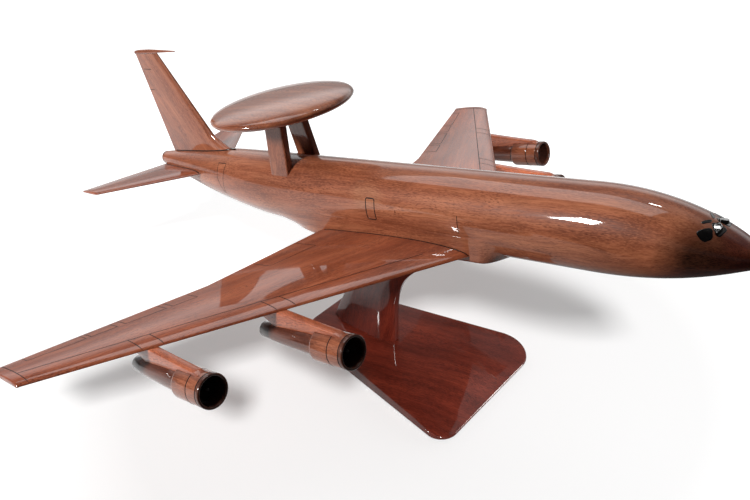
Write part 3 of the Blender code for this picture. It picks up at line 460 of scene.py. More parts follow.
def belly_ring(station, steps=56):
    """Ring of the belly block, from its left top edge under the keel to its right top edge."""
    fore = (station - BELLY_FRONT) / (belly_lead - BELLY_FRONT)
    back = (BELLY_REAR - station) / (BELLY_REAR - belly_trail)
    square = math.sin(math.pi / 2 * clamped(min(fore, back)))
    sunk = clamped((station - BELLY_FRONT) / (BELLY_FULL - BELLY_FRONT))
    keel = mix(wall_z, belly_z, mix(BELLY_LIGHT, 1, sunk))
    flat = BELLY_FLAT / 2
    half = []
    for i in range(steps + 1):
        share = 2 * i / steps
        if share < 1:
            z = mix(BELLY_TUCK - BELLY_JOIN, wall_z, share)
            oval, block = Vector((oval_side(z) * FADE, z)), Vector((belly_wall(z), z))
        else:
            angle = mix(math.asin(-2 * wall_z / FUSELAGE_HEIGHT), math.pi / 2, share - 1)
            bend = math.pi / 2 * min(1, (share - 1) / BELLY_BEND)
            wide = belly_side + BELLY_SWELL - flat
            oval = Vector((FUSELAGE_WIDTH * math.cos(angle), -FUSELAGE_HEIGHT * math.sin(angle))) * FADE / 2
            block = Vector((flat + wide * math.cos(bend), wall_z - (wall_z - keel) * math.sin(bend)))
            if share > 1 + BELLY_BEND:
                block.x = flat * (2 - share) / (1 - BELLY_BEND)
        half.append(oval.lerp(block, square))
    right = [Vector((-point.x, point.y)) for point in half[-2::-1]]
    return [Vector((ahead(station), point.x, point.y)) for point in half + right]

def circle(sides):
    """Cosine and sine of equal steps round a circle."""
    return [(math.cos(2 * math.pi * i / sides), math.sin(2 * math.pi * i / sides)) for i in range(sides)]

def cut_away(piece, rings):
    """Take the solid over some rings out of a piece for good."""
    builder = skinned(rings)
    bmesh.ops.recalc_face_normals(builder, faces=builder.faces)
    mesh = bpy.data.meshes.new("cutter")
    builder.to_mesh(mesh)
    builder.free()
    cutter = bpy.data.objects.new("cutter", mesh)
    bpy.context.scene.collection.objects.link(cutter)
    cutter.matrix_world = piece.matrix_world
    step = piece.modifiers.new("cut", "BOOLEAN")
    step.solver = "EXACT"
    step.object = cutter
    bpy.context.view_layer.update()
    whole = piece.evaluated_get(bpy.context.evaluated_depsgraph_get())
    result = bpy.data.meshes.new_from_object(whole)
    piece.modifiers.clear()
    piece.data = result
    bpy.data.objects.remove(cutter)
    builder = bmesh.new()
    builder.from_mesh(result)
    crisp(builder)
    builder.to_mesh(result)
    builder.free()

along_mahogany = mahogany("mahogany_along", ALONG, FUSELAGE_TONES, SHADE_AND_FIGURE_PATCHES)
belly_stations = [mix(BELLY_FRONT, belly_lead, k / 20) for k in range(21)]
belly_stations += [mix(belly_lead, BELLY_FULL, k / 12) for k in range(1, 13)]
belly_stations += [mix(belly_trail, BELLY_REAR, k / 30) for k in range(31)]
belly_skin = skinned([belly_ring(station) for station in belly_stations])
belly = on_aircraft("belly_fairing", belly_skin, along_mahogany, ["belly_block"])
bore = PEG_RADIUS + GLUE_GAP
for shift in (PEG_MIDDLE + PEG_SPACING / 2, PEG_MIDDLE - PEG_SPACING / 2):
    cut_away(belly, [[Vector((shift - bore * y, bore * x, z)) for x, y in circle(32)]
                     for z in (belly_z - BORE_OVERCUT, belly_z + PEG_UP)])
for end in ENDS:
    dress("belly_dowel_" + end, upright_beech)

# Fuselage
# One long mahogany spindle, carved and sanded to an oval, with the grain running nose to tail.
# It is sealed and lacquered to a deep gloss, and slotted below where the stand pegs reach up.
FUSELAGE_LENGTH = 0.431
NOSE_LENGTH = 0.075
NOSE_DROP = 0.005
NOSE_TIP_RADIUS = 0.004
TAIL_START = 0.293
CROWN_START = 0.333
TAIL_END_HEIGHT = 0.0096
TAIL_END_RISE = 0.0102
TAIL_END_WIDTH = 0.0095
TAIL_END_ROUND = 0.0022
FUSELAGE_SIDES = 128
SLOT_MARGIN = 0.004

def fuselage_point(station, angle, lift=0.0, shrink=1.0):
    """Point on the fuselage: angle 90 is the crown, 180 the right side. Lift stands it off the surface."""
    half = FUSELAGE_HEIGHT / 2
    nose = min(station / NOSE_LENGTH, 1)
    tip = NOSE_TIP_RADIUS * math.sqrt(1 - (1 - min(station / NOSE_TIP_RADIUS, 1)) ** 2)
    swell = (half + NOSE_DROP) * math.sin(math.pi / 2 * nose**0.745)
    sag = (half - NOSE_DROP) * math.sin(math.pi / 2 * nose**0.77)
    crown = (swell**3 + tip**3) ** (1 / 3) - NOSE_DROP
    keel = -((sag**3 + tip**3) ** (1 / 3)) - NOSE_DROP
    width = FUSELAGE_WIDTH / 2 * math.sin(math.pi / 2 * nose**0.52)
    rear = max(0, (station - TAIL_START) / (FUSELAGE_LENGTH - TAIL_START)) ** 1.5
    fall = max(0, (station - CROWN_START) / (FUSELAGE_LENGTH - CROWN_START)) ** 1.6
    crown = mix(crown, TAIL_END_RISE + TAIL_END_HEIGHT / 2, fall)
    keel = mix(keel, TAIL_END_RISE - TAIL_END_HEIGHT / 2, rear)
    width = mix(width, TAIL_END_WIDTH / 2, rear) * shrink + lift
    tall = (crown - keel) / 2 * shrink + lift
    turn = math.radians(angle)
    return Vector((ahead(station), width * math.cos(turn), (crown + keel) / 2 + tall * math.sin(turn)))

def fuselage_ring(station, aft=0.0, shrink=1.0):
    """Oval ring of the fuselage, pulled in for the rounded tail end."""
    return [fuselage_point(station, 360 * i / FUSELAGE_SIDES, 0.0, shrink) - Vector((aft, 0, 0))
            for i in range(FUSELAGE_SIDES)]

fuselage_stations = [NOSE_LENGTH * (k / 60) ** 2 for k in range(1, 61)]
fuselage_stations += [mix(NOSE_LENGTH, TAIL_START, k / 24) for k in range(1, 25)]
fuselage_stations += [mix(TAIL_START, FUSELAGE_LENGTH, k / 60) for k in range(1, 61)]
fuselage_rings = [fuselage_ring(station) for station in fuselage_stations]
for k in range(1, 9):
    bend = math.pi / 2 * k / 9
    fuselage_rings.append(fuselage_ring(FUSELAGE_LENGTH, TAIL_END_ROUND * math.sin(bend), math.cos(bend)))
fuselage = on_aircraft("carved_fuselage", skinned(fuselage_rings), along_mahogany, ["fuselage"])
slot = PEG_SPACING / 2 + PEG_RADIUS + SLOT_MARGIN
slot_corners = [(PEG_MIDDLE + slot, -BELLY_SPLIT), (PEG_MIDDLE - slot, -BELLY_SPLIT),
                (PEG_MIDDLE - slot, -FUSELAGE_HEIGHT), (PEG_MIDDLE + slot, -FUSELAGE_HEIGHT)]
cut_away(fuselage, [[Vector((x, y, z)) for x, z in slot_corners] for y in (-BELLY_FLAT / 2, BELLY_FLAT / 2)])

# Cockpit panes
# Gloss black paint inside scribed lines, each side of the nose: a mask, a side pane, a brow and a windshield.
# Each has corners of (millimetres aft, degrees round) and a swelling. The windshield is flooded up to a flat
# face instead, and the paint stands up in a bead along each edge.
WINDSHIELD = ((20.7, 104.0), (18.8, 91.5), (15.9, 100.0), (17.4, 125.0))
SIDE_PANE = ((25.5, 130.0), (20.1, 109.0), (18.3, 131.0), (21.3, 144.0))
BROW = ((24.8, 108.0), (21.9, 91.5), (21.2, 99.0), (24.0, 112.0))
MASK = ((21.5, 102.0), (19.6, 92.5), (14.8, 95.0), (16.5, 128.0))
PANES = (("mask", MASK, 0.00005), ("side_pane", SIDE_PANE, 0.0002), ("brow", BROW, 0.0001),
         ("windshield", WINDSHIELD, 0))
WINDSHIELD_FACE = Vector((0.163, 0.307, 0.938))
WINDSHIELD_CURVE = 0.060
PAINT_BEAD = 0.00008
PAINT_LIFT = 0.00010
PAINT_STROKES = (0.004, 0.0008, 0.0008)
PAINT_DARK = (0.003, 0.0025, 0.0025, 1)
PAINT_PALE = (0.008, 0.006, 0.0055, 1)
SIDES = (("left", 1), ("right", -1))

black_gloss = spotted("gloss_black_paint", PAINT_STROKES, 3.0, PAINT_DARK, PAINT_PALE, roughness=(0.16, 0.30),
                      relief=0.00002, Specular_IOR_Level=0.1, Coat_Weight=1.0, Coat_Roughness=0.03,
                      Coat_IOR=1.45)

def painted_patch(corners, surface, dome, face, steps=16, sides=48):
    """Rounded four-cornered patch that swells up from a surface, or is flooded up to a face if it doesn't."""
    builder = bmesh.new()
    loops = []
    middle = surface(*(sum(corner[k] for corner in corners) / 4 for k in (0, 1)), 0.0)

    def depth(*place):
        """Depth of a place under the slightly curved face."""
        foot = surface(*place, 0.0) - middle
        return -foot.dot(face) - foot.length_squared / (2 * WINDSHIELD_CURVE)

    brim = min(depth(*corner) for corner in corners)
    for k in range(1, steps + 2):
        reach = min(k, steps) / steps
        lift = PAINT_LIFT + dome * (1 - reach**2) + PAINT_BEAD * max(0, 1 - ((reach - 0.9) / 0.1) ** 2)
        loop = []
        for parts in circle(sides):
            across, up = (0.5 + 0.5 * reach * math.copysign(abs(part) ** 0.55, part) for part in parts)
            low = [mix(a, b, across) for a, b in zip(corners[0], corners[1])]
            high = [mix(a, b, across) for a, b in zip(corners[3], corners[2])]
            place = [mix(a, b, up) for a, b in zip(low, high)]
            flood = 0 if dome else (depth(*place) - brim) * min(1, 8 * (1 - reach)) ** 0.5
            loop.append(builder.verts.new(surface(*place, -PAINT_LIFT if k > steps else lift + flood)))
        loops.append(loop)
    builder.faces.new(loops[0])
    for inner, outside in zip(loops, loops[1:]):
        bridge(builder, inner, outside)
    return builder

def round_skin(side):
    """Surface of one fuselage side by a station in millimetres and an angle from the other side."""
    def point(station, angle, lift):
        return fuselage_point(station / 1000, angle if side < 0 else 180 - angle, lift)
    return point

for side_name, side in reversed(SIDES):
    face = Vector((WINDSHIELD_FACE.x, side * WINDSHIELD_FACE.y, WINDSHIELD_FACE.z))
    for pane_name, corners, dome in PANES:
        patch = painted_patch(corners, round_skin(side), dome, face)
        on_aircraft(pane_name + "_" + side_name, patch, black_gloss)

# Burnt lines on the fuselage
# Doors and joints are drawn into the sealed wood with a hot point before the last coat of lacquer.
# Each is a hair-thin dark brown line that follows the curve of the body, by (station, height).
LINE_WIDTH = 0.00050
DOOR_WIDTH = 0.00080
KNOT_WIDTH = 0.00190
LINE_LIFT = 0.00004
LINE_STEP = 0.0012
OVERWING_DOOR = (0.1993, 0.2058, -0.0040, 0.0086)
DOOR_CORNER = 0.0008
REAR_DOOR = ((0.3393, 0.0165), (0.3481, 0.0163), (0.3486, 0.0075), (0.3450, -0.0041), (0.3438, -0.0041))
PANEL_JOINT = ((0.1420, 0.0057), (0.1420, -0.0042))
TAIL_RING = 0.4300
KNOT = ((0.1322, -0.0112), (0.1372, -0.0110))
CHAR_SPOTS = (0.0016, 0.0016, 0.0016)
CHAR_DARK = (0.006, 0.002, 0.002, 1)
CHAR_PALE = (0.022, 0.007, 0.005, 1)

scorch = spotted("scorched_line", CHAR_SPOTS, 3.0, CHAR_DARK, CHAR_PALE, roughness=(0.45, 0.7),
                 Specular_IOR_Level=0.2, Coat_Weight=0.15, Coat_Roughness=0.08)

def burnt_line(builder, surface, points, width=LINE_WIDTH):
    """Add a thin raised strip along points on a surface, closed at its ends and sunk into the wood."""
    path = []
    for start, end in zip(points, points[1:]):
        span = (surface(*end, 0.0) - surface(*start, 0.0)).length
        count = max(1, round(span / LINE_STEP))
        path += [[mix(a, b, k / count) for a, b in zip(start, end)] for k in range(count)]
    path.append(list(points[-1]))
    rings = []
    for i, here in enumerate(path):
        before, after = path[max(i - 1, 0)], path[min(i + 1, len(path) - 1)]
        heading = (surface(*after, 0.0) - surface(*before, 0.0)).normalized()
        foot, head = surface(*here, -LINE_LIFT), surface(*here, LINE_LIFT)
        across = heading.cross(head - foot).normalized() * width / 2
        rings.append((foot - across, head - across * 0.8, head + across * 0.8, foot + across))
    skinned(rings, builder=builder)

def side_skin(side):
    """Surface of one fuselage side by station and height."""
    def point(station, height, lift):
        crown = fuselage_point(station, 90).z
        keel = fuselage_point(station, 270).z
        rise = max(-1, min(1, (2 * height - crown - keel) / (crown - keel)))
        angle = math.degrees(math.asin(rise))
        return fuselage_point(station, angle if side > 0 else 180 - angle, lift)
    return point

front, rear, low, high = OVERWING_DOOR
ease = DOOR_CORNER
door = [(front + ease, high), (rear - ease, high), (rear, high - ease), (rear, low + ease),
        (rear - ease, low), (front + ease, low), (front, low + ease), (front, high - ease),
        (front + ease, high)]
rear_edge = (REAR_DOOR[0], REAR_DOOR[-1])
drawn = ((door, DOOR_WIDTH), (REAR_DOOR, LINE_WIDTH), (rear_edge, LINE_WIDTH), (PANEL_JOINT, LINE_WIDTH),
         (KNOT, KNOT_WIDTH))
for side_name, side in SIDES:
    builder = bmesh.new()
    for points, width in drawn:
        burnt_line(builder, side_skin(side), points, width)
    on_aircraft("fuselage_lines_" + side_name, builder, scorch)

builder = bmesh.new()
burnt_line(builder, round_skin(-1), [(1000 * TAIL_RING, 5 * k) for k in range(73)], DOOR_WIDTH)
on_aircraft("tail_end_ring", builder, scorch)

# Wings
# Each wing is one thin mahogany blade with the grain along its swept span and a rounded leading edge.
# Two hidden dowels and glue hold its root against the belly block.
WING_TIP_SETBACK = 0.1385
WING_TIP_CHORD = 0.0310
WING_HALF_SPAN = 0.2115
WING_KINK_SPAN = 0.1000
WING_KINK_SETBACK = 0.0150
WING_TIP_ROUND = 0.0012
WING_TIP_THICKNESS = 0.0030
WING_GRAIN_SWEEP = 0.75
WING_TONES = ((0.215, 0.0450, 0.0175), (0.290, 0.0690, 0.0275), (0.365, 0.1010, 0.0430),
              (0.085, 0.0165, 0.0070))
TIP_BENDS = [math.radians(15 * k) for k in range(1, 6)]
wing_root_y = belly_side + GLUE_GAP

def blade_height(u, depth):
    """Height of one face of a blade over its chord at a share of the chord, for the depth of that face."""
    full = 5 * (0.5938 * math.sqrt(u) - 0.2520 * u - 0.7032 * u**2 + 0.5686 * u**3 - 0.2072 * u**4)
    return full * depth + EDGE_THICKNESS / 2 * u

def blade_section(chord, thickness, under, points=36):
    """Blade section: (distance aft, height) pairs around from the trailing edge over the top."""
    shares = [(1 - math.cos(math.pi * i / (points - 1))) / 2 for i in range(points)]
    upper = [(chord * u, blade_height(u, thickness * (1 - under))) for u in shares]
    return upper[::-1] + [(chord * u, -blade_height(u, thickness * under)) for u in shares[1:]]

def wing_edges(y):
    """Leading and trailing edge stations of the wing at a distance from the middle plane."""
    lead = WING_ROOT_LEAD + WING_TIP_SETBACK * (y - wing_root_y) / (WING_HALF_SPAN - wing_root_y)
    root_trail = WING_ROOT_LEAD + WING_ROOT_CHORD
    kink_trail = root_trail + WING_KINK_SETBACK
    tip_trail = WING_ROOT_LEAD + WING_TIP_SETBACK + WING_TIP_CHORD
    if y < WING_KINK_SPAN:
        return lead, mix(root_trail, kink_trail, (y - wing_root_y) / (WING_KINK_SPAN - wing_root_y))
    return lead, mix(kink_trail, tip_trail, (y - WING_KINK_SPAN) / (WING_HALF_SPAN - WING_KINK_SPAN))

def wing_thickness(y):
    """Thickness of the wing at a distance from the middle plane."""
    lead, trail = wing_edges(y)
    thin = (WING_ROOT_CHORD - trail + lead) / (WING_ROOT_CHORD - WING_TIP_CHORD)
    return mix(WING_ROOT_THICKNESS, WING_TIP_THICKNESS, thin)

def wing_ring(y, side, bend=0.0):
    """Section of the wing, drawn in by a bend of 0 to 90 degrees over the rounded tip."""
    lead, trail = wing_edges(y)
    inset = WING_TIP_ROUND * (1 - math.cos(bend))
    out = y + WING_TIP_ROUND * math.sin(bend)
    outline = blade_section(trail - lead - 2 * inset, wing_thickness(y) * math.cos(bend), UNDER_SHARE)
    return [Vector((ahead(lead + inset + x), side * out, wing_z + z)) for x, z in outline]

cross_beech = bare_beech("beech_across", (0, 1, 0))
wings = []
wing_spans = [mix(wing_root_y, WING_KINK_SPAN, k / 16) for k in range(17)]
wing_spans += [mix(WING_KINK_SPAN, WING_HALF_SPAN - WING_TIP_ROUND, k / 20) for k in range(1, 21)]
for side_name, side in SIDES:
    wing_grain = (-WING_TIP_SETBACK * WING_GRAIN_SWEEP, side * (WING_HALF_SPAN - wing_root_y), 0.0)
    wing_mahogany = mahogany("mahogany_wing_" + side_name, wing_grain, WING_TONES)
    rings = [wing_ring(y, side) for y in wing_spans]
    rings += [wing_ring(wing_spans[-1], side, bend) for bend in TIP_BENDS]
    wings.append(on_aircraft("wing_blade_" + side_name, skinned(rings), wing_mahogany, ["wing_" + side_name]))
    for end in ENDS:
        dress("wing_dowel_" + side_name + "_" + end, cross_beech)

# Burnt lines on the wings
# Slats, flaps and ailerons are only drawn on the upper face: one line behind the leading edge, hinge lines
# ahead of the trailing edge, and short cross lines out to the edges. A wider seam runs along the root.
SLAT_DEPTH = 0.0130
SLAT_START = 0.0300
SLAT_CUTS = (0.0950, 0.1030, 0.1510, 0.1600)
HINGE_RUNS = ((0.0400, 0.0700, 0.80), (0.1122, 0.1251, 0.80), (0.1283, 0.1490, 0.80), (0.1531, 0.1660, 0.80),
              (0.1685, 0.1965, 0.79))
HINGE_END = 0.98
TIP_JOINT = 0.2060
ROOT_SEAM = 0.00110

def wing_skin(side):
    """Upper surface of a wing by distance from the middle plane and share of the chord."""
    def point(y, share, lift):
        lead, trail = wing_edges(y)
        u = clamped(share)
        height = blade_height(u, wing_thickness(y) * (1 - UNDER_SHARE))
        return Vector((ahead(mix(lead, trail, u)), side * y, wing_z + height + lift))
    return point

def slat_share(y):
    """Share of the chord that the slats take."""
    lead, trail = wing_edges(y)
    return SLAT_DEPTH / (trail - lead)

for side_name, side in SIDES:
    builder = bmesh.new()
    surface = wing_skin(side)
    slat_spans = [mix(SLAT_START, TIP_JOINT, k / 24) for k in range(25)]
    burnt_line(builder, surface, [(y, slat_share(y)) for y in slat_spans])
    for y in SLAT_CUTS:
        burnt_line(builder, surface, [(y, 0.01), (y, slat_share(y))])
    burnt_line(builder, surface, [(TIP_JOINT, 0.02), (TIP_JOINT, 0.97)])
    # The root seam is partly a dark glue line and partly painted shade in the crease where the wing meets the
    # belly block.
    root_seam = []
    for k in range(41):
        share = 0.985 * (k / 40) ** 2 + 0.002
        height = surface(wing_root_y, share, 0.0).z
        root_seam.append((belly_wall(height) + ROOT_SEAM / 4, share))
    burnt_line(builder, surface, root_seam, ROOT_SEAM)
    for inner, outer, share in HINGE_RUNS:
        burnt_line(builder, surface, [(inner, HINGE_END), (inner, share), (outer, share), (outer, HINGE_END)])
    on_aircraft("wing_lines_" + side_name, builder, scorch)

# Engine pylons
# Flat mahogany strips on edge, slotted into the top of each nacelle and glued under the wing's leading edge.
# The flat top runs from the intake up over the leading edge, with its edges just rubbed round.
ENGINES = (("inner", 0.1015, 0.0473), ("outer", 0.1558, 0.0437))
ENGINE_DROP = 0.0109
ENGINE_PITCH = math.radians(2.7)
NACELLE_LENGTH = 0.0580
COWL_RADIUS = 0.0089
PYLON_THICKNESS = 0.0050
PYLON_FRONT = 0.0050
PYLON_TOE = 0.0010
PYLON_TOE_LENGTH = 0.003
PYLON_SHELF_END = 0.0132
PYLON_SHELF = COWL_RADIUS - 0.0019
PYLON_BED = 0.0038
PYLON_BED_END = NACELLE_LENGTH - 0.004
PYLON_HEEL = 0.0002
PYLON_REACH = 0.0200
PYLON_ROUNDING = 0.0006
PYLON_FLARE = -0.0008
PYLON_FULL_HEIGHT = 0.010
PYLON_TONES = ((0.300, 0.0660, 0.0250), (0.400, 0.0980, 0.0390), (0.490, 0.1400, 0.0600),
               (0.130, 0.0250, 0.0100))
engine_z = wing_under_z - ENGINE_DROP

def pod_frame(offset, lead, side):
    """Frame of an engine at the middle of its intake, X ahead."""
    place = Vector((ahead(wing_edges(offset)[0] - lead), side * offset, engine_z))
    return airframe @ Matrix.Translation(place) @ Matrix.Rotation(-ENGINE_PITCH, 4, "Y")

def pylon_rings(lead):
    """Cross sections of a pylon from its toe at the intake to its heel under the wing."""
    wing_low = (wing_under_z - engine_z) * math.cos(ENGINE_PITCH)
    nose_z = wing_z - engine_z + lead * math.sin(ENGINE_PITCH)
    heel = lead + PYLON_REACH
    heel_z = wing_low + heel * math.sin(ENGINE_PITCH)
    half = PYLON_THICKNESS / 2
    rings = []
    for k in range(49):
        aft = mix(PYLON_FRONT, heel, k / 48)
        rise = min(1, (aft - PYLON_FRONT) / (lead - PYLON_FRONT))
        high = mix(COWL_RADIUS + PYLON_TOE, nose_z, rise**1.15)
        high -= PYLON_TOE * max(0, 1 - (aft - PYLON_FRONT) / PYLON_TOE_LENGTH) ** 2
        bed = mix(PYLON_BED, heel_z - PYLON_HEEL, max(0, (aft - PYLON_BED_END) / (heel - PYLON_BED_END)))
        low = PYLON_SHELF if aft < PYLON_SHELF_END else bed
        ease = min(PYLON_ROUNDING, (high - low) / 3)
        wide = half + PYLON_FLARE * min(1, (high - low) / PYLON_FULL_HEIGHT)
        side = [(wide, low), (mix(wide, half, 0.6), mix(low, high, 0.3)), (half, high - ease),
                (half - ease * 0.3, high - ease * 0.3), (half - ease, high)]
        outline = side + [(-y, z) for y, z in side[::-1]]
        rings.append([Vector((-aft, y, z)) for y, z in outline])
    return rings

pylon_mahogany = mahogany("mahogany_pylon", (1, 0, 0.15), PYLON_TONES)
pods = []
for side_name, side in SIDES:
    for place_name, offset, lead in ENGINES:
        label, place = side_name + "_" + place_name, pod_frame(offset, lead, side)
        pods.append((label, place))
        on_aircraft("pylon_strip_" + label, skinned(pylon_rings(lead)), pylon_mahogany, ["pylon_" + label],
                    place=place)
        dress("pylon_pin_" + label, zinc)

# Engine nacelles
# Turned mahogany pods: a plump cowl with a rounded dark lip, a stepped edge behind it and a slim core.
# Two rings are scribed round the cowl, darkened with a hot point, and its bore is stained black.
COWL_LENGTH = 0.0230
LIP_RADIUS = 0.0075
CORE_RADIUS = 0.0068
CORE_START = COWL_LENGTH + 0.0010
CORE_END_RADIUS = 0.0050
INTAKE_DEPTH = 0.0120
INTAKE_TAPER = 0.0002
COWL_RINGS = (0.0026, 0.0102)
GROOVE = 0.00022
PLUG_THICKNESS = 0.0030
STAIN_SKIN = 0.00006
BORE_START = 0.0018
RING_BANDS = ((COWL_RINGS[0], COWL_RADIUS, 0.00020), (COWL_RINGS[1], COWL_RADIUS, 0.00020),
              (COWL_LENGTH + 0.0011, CORE_RADIUS, 0.00035))
LIP_TONES = ((0.070, 0.0190, 0.0100), (0.105, 0.0300, 0.0155), (0.150, 0.0480, 0.0240),
             (0.030, 0.0080, 0.0050))
BURNT_TONES = ((0.026, 0.0080, 0.0055), (0.044, 0.0130, 0.0085), (0.066, 0.0200, 0.0120),
               (0.012, 0.0040, 0.0030))
# Painted shade: a soft patch darkens each pod more and more towards its tail, most over the core.
CORE_PAINTED_SHADE = ((-0.0600, 0.0, 0.0), (0.1000, 0.0600, 0.0600), (0.36, 0.28, 0.26))
plug_face = INTAKE_DEPTH - GLUE_GAP - PLUG_THICKNESS
lip_half = (COWL_RADIUS - LIP_RADIUS) / 2
lip_middle = (COWL_RADIUS + LIP_RADIUS) / 2

def turned(profile, sides=64):
    """Rings of a profile of (distance aft, radius) turned about the engine's axis."""
    return [[Vector((-aft, radius * x, radius * y)) for x, y in circle(sides)] for aft, radius in profile]

def lip_bend(reach):
    """Profile of the rounded lip, from the bore round to the outside."""
    bends = [math.pi * k / 12 for k in range(13)]
    return [(lip_half - reach * math.sin(bend), lip_middle - reach * math.cos(bend)) for bend in bends]

cowl_profile = [(INTAKE_DEPTH, LIP_RADIUS - INTAKE_TAPER), (0.0020, LIP_RADIUS)] + lip_bend(lip_half)
for ring in COWL_RINGS:
    for aft, depth in ((-1.6, 0), (-0.6, 0.8), (0, 1), (0.6, 0.8), (1.6, 0)):
        cowl_profile.append((ring + aft * GROOVE, COWL_RADIUS - depth * GROOVE))
cowl_profile += [(COWL_LENGTH - 0.0015, COWL_RADIUS), (COWL_LENGTH - 0.0006, COWL_RADIUS * 0.985),
                 (COWL_LENGTH, COWL_RADIUS * 0.94), (COWL_LENGTH + 0.0004, CORE_RADIUS * 1.10),
                 (CORE_START, CORE_RADIUS)]
for k in range(1, 17):
    radius = mix(CORE_RADIUS, CORE_END_RADIUS, (k / 16) ** 1.3)
    cowl_profile.append((mix(CORE_START, NACELLE_LENGTH, k / 16), radius))
lip_end = COWL_RINGS[0] - 2 * GROOVE
lip_profile = [(BORE_START, LIP_RADIUS - STAIN_SKIN)] + lip_bend(lip_half + STAIN_SKIN)
lip_profile += [(lip_end, COWL_RADIUS + STAIN_SKIN), (lip_end, lip_middle), (BORE_START, lip_middle)]
ring_profiles = [[(ring - width, radius + STAIN_SKIN), (ring + width, radius + STAIN_SKIN),
                  (ring + width, radius - 2 * GROOVE), (ring - width, radius - 2 * GROOVE)]
                 for ring, radius, width in RING_BANDS]
bore_profile = [(plug_face, LIP_RADIUS), (BORE_START, LIP_RADIUS), (BORE_START, LIP_RADIUS - 4 * STAIN_SKIN),
                (plug_face, LIP_RADIUS - 4 * STAIN_SKIN)]

# The nacelle wood carries the painted shade on the core.
nacelle_mahogany = mahogany("mahogany_nacelle", (1, 0, 0), FUSELAGE_TONES, [CORE_PAINTED_SHADE])
burnt_mahogany = mahogany("mahogany_stained_black", (1, 0, 0), BURNT_TONES)
lip_mahogany = mahogany("mahogany_stained_lip", (1, 0, 0), LIP_TONES)
for label, place in pods:
    on_aircraft("turned_nacelle_" + label, skinned(turned(cowl_profile)), nacelle_mahogany,
                ["nacelle_" + label], place=place)
    on_aircraft("stained_lip_" + label, skinned(turned(lip_profile), hoop=True), lip_mahogany,
                place=place)
    for number, profile in enumerate(ring_profiles):
        on_aircraft("burnt_ring_%s_%d" % (label, number + 1), skinned(turned(profile), hoop=True), scorch,
                    place=place)
    on_aircraft("black_bore_" + label, skinned(turned(bore_profile), hoop=True), burnt_mahogany,
                place=place)

# Intake plugs
# Turned discs with a small pointed spinner, painted gloss black.
# Each is pressed to the bottom of its intake.
SPINNER_LENGTH = 0.0050
SPINNER_RADIUS = 0.0023

plug_profile = [(plug_face + PLUG_THICKNESS, LIP_RADIUS - GLUE_GAP), (plug_face, LIP_RADIUS - GLUE_GAP),
                (plug_face - 0.0001, SPINNER_RADIUS + 0.0003)]
for k in range(1, 16):
    bend = math.pi / 2 * k / 16
    plug_profile.append((plug_face - SPINNER_LENGTH * math.sin(bend), SPINNER_RADIUS * math.cos(bend)))
for label, place in pods:
    on_aircraft("black_spinner_" + label, skinned(turned(plug_profile)), black_gloss,
                ["intake_plug_" + label], place)

# Exhaust nozzles
# Short turned cones, stained black-brown and bored out at the end.
# Each is glued on a spigot into the end of its core.
NOZZLE_LENGTH = 0.0080
NOZZLE_END_RADIUS = 0.0044
NOZZLE_BORE_RADIUS = 0.0034
NOZZLE_BORE_DEPTH = 0.0040
SPIGOT_LENGTH = 0.0020
SPIGOT_RADIUS = 0.0025

nozzle_start = NACELLE_LENGTH + GLUE_GAP
nozzle_end = nozzle_start + NOZZLE_LENGTH
nozzle_profile = [(nozzle_start - SPIGOT_LENGTH, SPIGOT_RADIUS), (nozzle_start, SPIGOT_RADIUS),
                  (nozzle_start, CORE_END_RADIUS - 0.0003), (nozzle_end - 0.0004, NOZZLE_END_RADIUS),
                  (nozzle_end, NOZZLE_END_RADIUS - 0.0002), (nozzle_end, NOZZLE_BORE_RADIUS),
                  (nozzle_end - NOZZLE_BORE_DEPTH, NOZZLE_BORE_RADIUS * 0.9)]
for label, place in pods:
    on_aircraft("nozzle_cone_" + label, skinned(turned(nozzle_profile)), burnt_mahogany,
                ["exhaust_nozzle_" + label], place)

# Fin
# An upright mahogany blade, tenoned into the tail, with a small fillet where its front meets the crown.
# Two short burnt ticks mark the rudder, and a seam runs along its root.
FIN_ROOT_LEAD = 0.3488
FIN_ROOT_CHORD = 0.0672
FIN_TIP_SETBACK = 0.0526
FIN_TIP_CHORD = 0.0271
FIN_FILLET_TOP = 0.0323
FIN_FILLET_REACH = 0.0094
FIN_ROOT_Z = 0.0120
FIN_TOP_Z = 0.0912
FIN_ROOT_THICKNESS = 0.0068
FIN_TIP_THICKNESS = 0.0030
FIN_GRAIN = (-0.55, 0, 0.84)
FIN_SEAM = 0.0011
SEAM_MARGIN = 0.0015
RUDDER_TICKS = ((0.0800, 0.4125, 0.4229), (0.0646, 0.4173, 0.4237))
fin_root_trail = FIN_ROOT_LEAD + FIN_ROOT_CHORD
fin_tip_trail = FIN_ROOT_LEAD + FIN_TIP_SETBACK + FIN_TIP_CHORD

def fin_shape(z):
    """Leading edge, trailing edge and thickness of the fin at a height."""
    share = (z - FIN_ROOT_Z) / (FIN_TOP_Z - FIN_ROOT_Z)
    depth = max(0, FIN_FILLET_TOP - z) / (FIN_FILLET_TOP - FUSELAGE_HEIGHT / 2)
    lead = FIN_ROOT_LEAD + FIN_TIP_SETBACK * share - FIN_FILLET_REACH * min(1, depth) ** 1.33
    return lead, mix(fin_root_trail, fin_tip_trail, share), mix(FIN_ROOT_THICKNESS, FIN_TIP_THICKNESS, share)

def fin_ring(z):
    """Section of the fin at a height."""
    lead, trail, thickness = fin_shape(z)
    return [Vector((ahead(lead + x), y, z)) for x, y in blade_section(trail - lead, thickness, 0.5)]

def fin_skin(side):
    """One face of the fin by station and height."""
    def point(station, z, lift):
        lead, trail, thickness = fin_shape(z)
        out = blade_height(clamped((station - lead) / (trail - lead)), thickness / 2) + lift
        return Vector((ahead(station), side * out, z))
    return point

